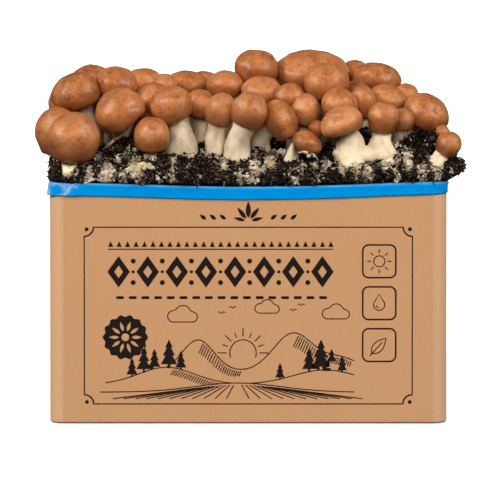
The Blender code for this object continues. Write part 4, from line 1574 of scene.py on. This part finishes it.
# %% Waves and crumples
crumpled = unit((CRUMPLE_END - points[:, 0]) / CRUMPLE_FADE) * unit(-points[:, 1] / CRUMPLE_DEEP)
low = unit((FILM_TOP - FLARE_BELOW - points[:, 2]) / FLARE_TALL)
seeds = [Vector((x, y, z * WAVE_SQUASH)) for x, y, z in points]
wave = noise_at(seeds, WAVE_SIZE)
fine = np.array([noise.ridged_multi_fractal(s / CRUMPLE_SIZE, 1.0, 2.0, 2, 0.8, 1.8) - 0.7 for s in seeds])
flare = FLARE * low * unit(FLARE_MEAN + FLARE_RAGGED * wave)
lift = WAVE * wave + crumpled * (CRUMPLE * 0.5 * np.clip(fine, -0.6, 1.4) + flare)
points += np.clip(lift, LIFT_LEAST, None)[:, None] * heading
set_points(film.data, points)
columns, rows = pixels_of(points)
white = END_WHITE * unit((END_FROM - columns) / END_FADE)
for (left, high), (right, low_end), strength in CREASES:
    run = np.array((right - left, low_end - high))
    along = unit(((columns - left) * run[0] + (rows - high) * run[1]) / (run @ run))
    apart = np.hypot(columns - left - along * run[0], rows - high - along * run[1])
    white = np.maximum(white, strength * np.exp(-((apart / CREASE_WIDE) ** 2)))
paint(film.data, "crumpled", white * unit((END_DEEP - points[:, 1] / MM + END_RAGGED * wave) / END_SOFT))
# A painted highlight along the top of the fold
below_fold = FILM_TOP - panel_dip(points) - points[:, 2]
paint(film.data, "fold_highlight", RIDGE_HIGHLIGHT * np.exp(-((below_fold / RIDGE_WIDE) ** 2)))
edit(bpy.ops.mesh.remove_doubles, film, threshold=MERGE)
edit(bpy.ops.mesh.normals_make_consistent, film, inside=False)
apply_modifier(film, "SOLIDIFY", thickness=FILM, offset=-1.0)
finish_piece(film, blue_film, "blue_film", "liner_collar")

# %% [markdown]
# ## The print
#
# The front panel carries a plain print in one dark ink: a frame, a bold band of lozenges, three pictograms, a
# badge and a line drawing of hills. Curves suit this best, because a curve can be a stroke of an even width
# or a filled shape, and a closed curve inside a filled one cuts a hole in it. The curves are drawn flat and
# turned into meshes, and only then stood up against the panel.

# %% Drawing tools
INK = (0.015, 0.008, 0.006)
INK_RAISE = 0.1 * MM
BOLD = 1.3
FINE = 0.85
SMOOTH_ARC = 28


def arc(middle, radius, start, end, steps=SMOOTH_ARC):
    turns_of = [math.radians(start + (end - start) * n / steps) for n in range(steps + 1)]
    return [(middle[0] + radius * math.cos(a), middle[1] + radius * math.sin(a)) for a in turns_of]


def circle(middle, radius, steps=SMOOTH_ARC):
    return arc(middle, radius, 0, 360, steps)[:-1]


def turned(path, middle, angle, size=1.0):
    """A path drawn round nought, at its size, turned and moved to its middle."""
    cos, sin = size * math.cos(math.radians(angle)), size * math.sin(math.radians(angle))
    return [(middle[0] + x * cos - y * sin, middle[1] + x * sin + y * cos) for x, y in path]


def rounded(low, high, radius):
    """A rectangle with rounded corners."""
    (left, bottom), (right, top) = low, high
    left, bottom, right, top = left + radius, bottom + radius, right - radius, top - radius
    corners = ((right, bottom, -90), (right, top, 0), (left, top, 90), (left, bottom, 180))
    return [point for x, y, start in corners for point in arc((x, y), radius, start, start + 90, 8)]


def leaf(length, width):
    """A pointed leaf that grows along +X from nought."""
    upper = [(length * t, width / 2 * math.sin(math.pi * t**0.8)) for t in np.linspace(0, 1, 13)]
    return upper + [(x, -y) for x, y in reversed(upper[1:-1])]


def ridge(level, *hills):
    """A line of hills, as a function of the place across. Each hill has a middle, a height and a reach."""
    def height(x):
        return level + sum(tall * math.exp(-(((x - middle) / reach) ** 2)) for middle, tall, reach in hills)
    return height


def seen_above(path, *fronts):
    """The stretches of a path that no nearer ridge hides."""
    stretches = [[]]
    for x, y in path:
        if all(y > front(x) for front in fronts):
            stretches[-1].append((x, y))
        elif stretches[-1]:
            stretches.append([])
    return [stretch for stretch in stretches if len(stretch) > 1]


def fir(height):
    """A fir tree of three tiers that stands on nought."""
    half = [(0, 1.0), (0.13, 0.72), (0.07, 0.72), (0.21, 0.44), (0.12, 0.44)]
    half += [(0.28, 0.14), (0.04, 0.14), (0.04, 0)]
    return [(x * height, y * height) for x, y in half + [(-x, y) for x, y in reversed(half[1:])]]


DROP = arc((0, -1.2), 4.2, 150, 390, 22) + [(0, 6.8)]

# %% Laying out the print
# Each list holds paths in millimetres: across from the panel's middle, and up from the floor.
bold_closed, fine_closed, fine_open, filled = [], [], [], []

NOTCH = 7.0
left, bottom, right, top = -124.0, 15.0, 124.0, 150.0
notched = []
for x, y, start in ((right, bottom, 180), (right, top, 270), (left, top, 0), (left, bottom, 90)):
    notched += arc((x, y), NOTCH, start, start - 90, 8)
bold_closed.append(notched)
for x in (left, right):
    for y in (bottom, top):
        filled.append(circle((x * 0.985, y + (1.5 if y == bottom else -1.5)), 1.5, 12))

for angle, length in ((90, 13), (52, 11), (128, 11), (14, 9), (166, 9)):
    filled.append(turned(leaf(length, length * 0.3), turned([(2.6, 0)], (0, 154.5), angle)[0], angle))
for side in (-1, 1):
    for number in range(3):
        start = (side * (17 + 7.5 * number), 156)
        filled.append(turned(leaf(6.0, 2.8), start, 38 if side > 0 else 142))

BAND_MIDDLE = 116.0
LOZENGES = 8
for number in range(LOZENGES):
    x = -98 + 22.0 * number
    for wide, high in ((8.5, 12), (3.4, 4.8)):
        sides = ((-wide, 0), (0, -high), (wide, 0), (0, high))
        filled.append([(x + across, BAND_MIDDLE + up) for across, up in sides])
    if number < LOZENGES - 1:
        for up in (-8.2, 0, 8.2):
            filled.append(circle((x + 11, BAND_MIDDLE + up), 1.9 if up else 1.2, 14))
for number in range(27):
    x = -104 + 6.4 * number
    filled.append([(x - 2.0, 135.0), (x + 2.0, 135.0), (x, 139.4)])
fine_open.append([(-106, 133.2), (64, 133.2)])
for number in range(17):
    filled.append(rounded((-100 + 9.6 * number, 95.2), (-94 + 9.6 * number, 97.4), 1.0))

SIGNS = ((99, 124), (99, 92), (99, 60))
for x, y in SIGNS:
    bold_closed.append(rounded((x - 12.5, y - 12.5), (x + 12.5, y + 12.5), 4.5))
fine_closed.append(circle(SIGNS[0], 4.2, 22))
fine_open += [turned([(6.2, 0), (9.2, 0)], SIGNS[0], 45 * number) for number in range(8)]
fine_closed.append(turned(DROP, SIGNS[1], 0))
fine_open.append(arc((SIGNS[1][0], SIGNS[1][1] - 1.2), 2.3, 190, 260, 6))
sprig = (SIGNS[2][0] - 5.5, SIGNS[2][1] - 6.5)
fine_closed.append(turned(leaf(16, 7.5), sprig, 48))
fine_open.append(turned([(-2.5, 0), (11.5, 0)], sprig, 48))

BADGE = (-93.0, 66.0)
scallops = [(16.4 + 0.8 * math.cos(14 * a), a) for a in np.linspace(0, math.tau, 141)[:-1]]
filled.append([(BADGE[0] + r * math.cos(a), BADGE[1] + r * math.sin(a)) for r, a in scallops])
filled.append(circle(BADGE, 3.0, 18))
for number in range(10):
    start = turned([(4.9, 0)], BADGE, 36 * number)[0]
    filled.append(turned(leaf(7.6, 2.5), start, 36 * number))

# %% Hills and trees
far = ridge(40, (-38, 24, 17), (34, 29, 21), (70, 10, 20))
middle = ridge(30, (-62, 13, 30), (58, 11, 34))
near = ridge(24, (-8, 7, 46))
for line, start, steps, *nearer in ((far, -72, 90, middle, near), (middle, -108, 90, near), (near, -112, 60)):
    fine_open += seen_above([(x, line(x)) for x in np.linspace(start, 80, steps)], *nearer)

SUN = (-4, 54)
fine_open += seen_above(arc(SUN, 10, -20, 200, 40), far, middle)
for number in range(9):
    ray = turned([(12.5 + 0.6 * n, 0) for n in range(8 if number % 2 else 12)], SUN, 22.5 * number)
    fine_open += seen_above(ray, far)
# Hatching on the shaded side of the hills: the ridge, how many strokes, where the first one is and how far
# apart they are, how they lean and fall, how far below the ridge they start, how long the longest is, how
# many strokes go by before they get a step shorter, and the nearer ridges
HATCHING = (
    (far, 26, 38, 1.6, 0.28, 0.62, 1.5, 15, 3, middle, near),
    (far, 20, -34, 1.5, 0.28, 0.62, 1.5, 13, 3, middle, near),
    (middle, 24, -56, 1.7, 0.35, 0.5, 1.3, 9, 24, near),
)
for line, count, first, apart, lean, fall, below, longest, shorter, *nearer in HATCHING:
    for number in range(count):
        x = first + apart * number
        steps = range(longest - number // shorter)
        fine_open += seen_above([(x - lean * n, line(x) - below - fall * n) for n in steps], *nearer)
# Furrows of the field, which run together towards the middle
for number in range(-11, 12):
    if number:
        fine_open.append([(-8 + 3.0 * number, near(-8 + 3.0 * number) - 1.4), (-8 + 8.6 * number, 19.0)])
FIRS = (
    (-88, 15), (-79, 20), (-71, 16), (-60, 22), (-51, 15), (24, 13), (46, 19), (55, 24), (63, 17), (71, 13),
)
for x, height in FIRS:
    filled.append(turned(fir(height), (x, middle(x) - 0.6), 0))
puffs = arc((-6, 0), 4, 90, 262, 10) + [(6, -4)] + arc((7, -0.5), 3.5, -90, 70, 8)
puffs += arc((0.5, 2.0), 5.5, 20, 150, 12)
for x, y, size in ((-50, 82, 1.1), (14, 88, 0.9), (66, 84, 1.0)):
    fine_closed.append(turned(puffs, (x, y), 0, size))
for x, y in ((-20, 84), (-12, 88), (40, 90), (34, 86)):
    fine_open.append([(x - 2.6, y + 1.0), (x - 1.2, y + 1.5), (x, y), (x + 1.2, y + 1.5), (x + 2.6, y + 1.0)])
print("paths of the print:", [len(kind) for kind in (bold_closed, fine_closed, fine_open, filled)])

# %% Printing
ink_finish, _, shader = new_finish("print_ink", 0.72, Specular_IOR_Level=0.25)
shader.inputs["Base Color"].default_value = (*INK, 1.0)


def print_curves(name, paths_of, closed, width=0.0):
    """Curves from the paths, as strokes of a width or as filled shapes, made into a mesh on the panel."""
    curve = bpy.data.curves.new(name, "CURVE")
    for path in paths_of:
        spline = curve.splines.new("POLY")
        spline.points.add(len(path) - 1)
        for point, (x, y) in zip(spline.points, path):
            point.co = (x * MM, y * MM, 0, 1)
        spline.use_cyclic_u = closed
    if width:
        curve.dimensions = "3D"
        curve.bevel_depth = width / 2 * MM
        curve.bevel_resolution = 1
        curve.use_fill_caps = True
    else:
        curve.dimensions = "2D"
        curve.fill_mode = "BOTH"
        curve.extrude = INK_RAISE
    pick(link_piece(name, curve))
    bpy.ops.object.convert(target="MESH")
    piece = bpy.context.object
    choose(piece)
    if width:
        bpy.ops.transform.resize(value=(1, 1, 2 * INK_RAISE / (width * MM)))
    bpy.ops.transform.rotate(value=-math.pi / 2, orient_axis="X", center_override=(0, 0, 0))
    bpy.ops.transform.translate(value=(0, -HALF_DEEP, 0))
    bpy.ops.mesh.remove_doubles(threshold=MERGE / 4)
    bpy.ops.mesh.normals_make_consistent(inside=False)
    close_edit()
    finish_piece(piece, ink_finish, "kraft_board", smooth=False)


print_curves("print_frame_lines", bold_closed, True, BOLD)
print_curves("print_outlines", fine_closed, True, FINE)
print_curves("print_strokes", fine_open, False, FINE)
print_curves("print_solids", filled, True)

# %% Update the scene
bpy.context.view_layer.update()
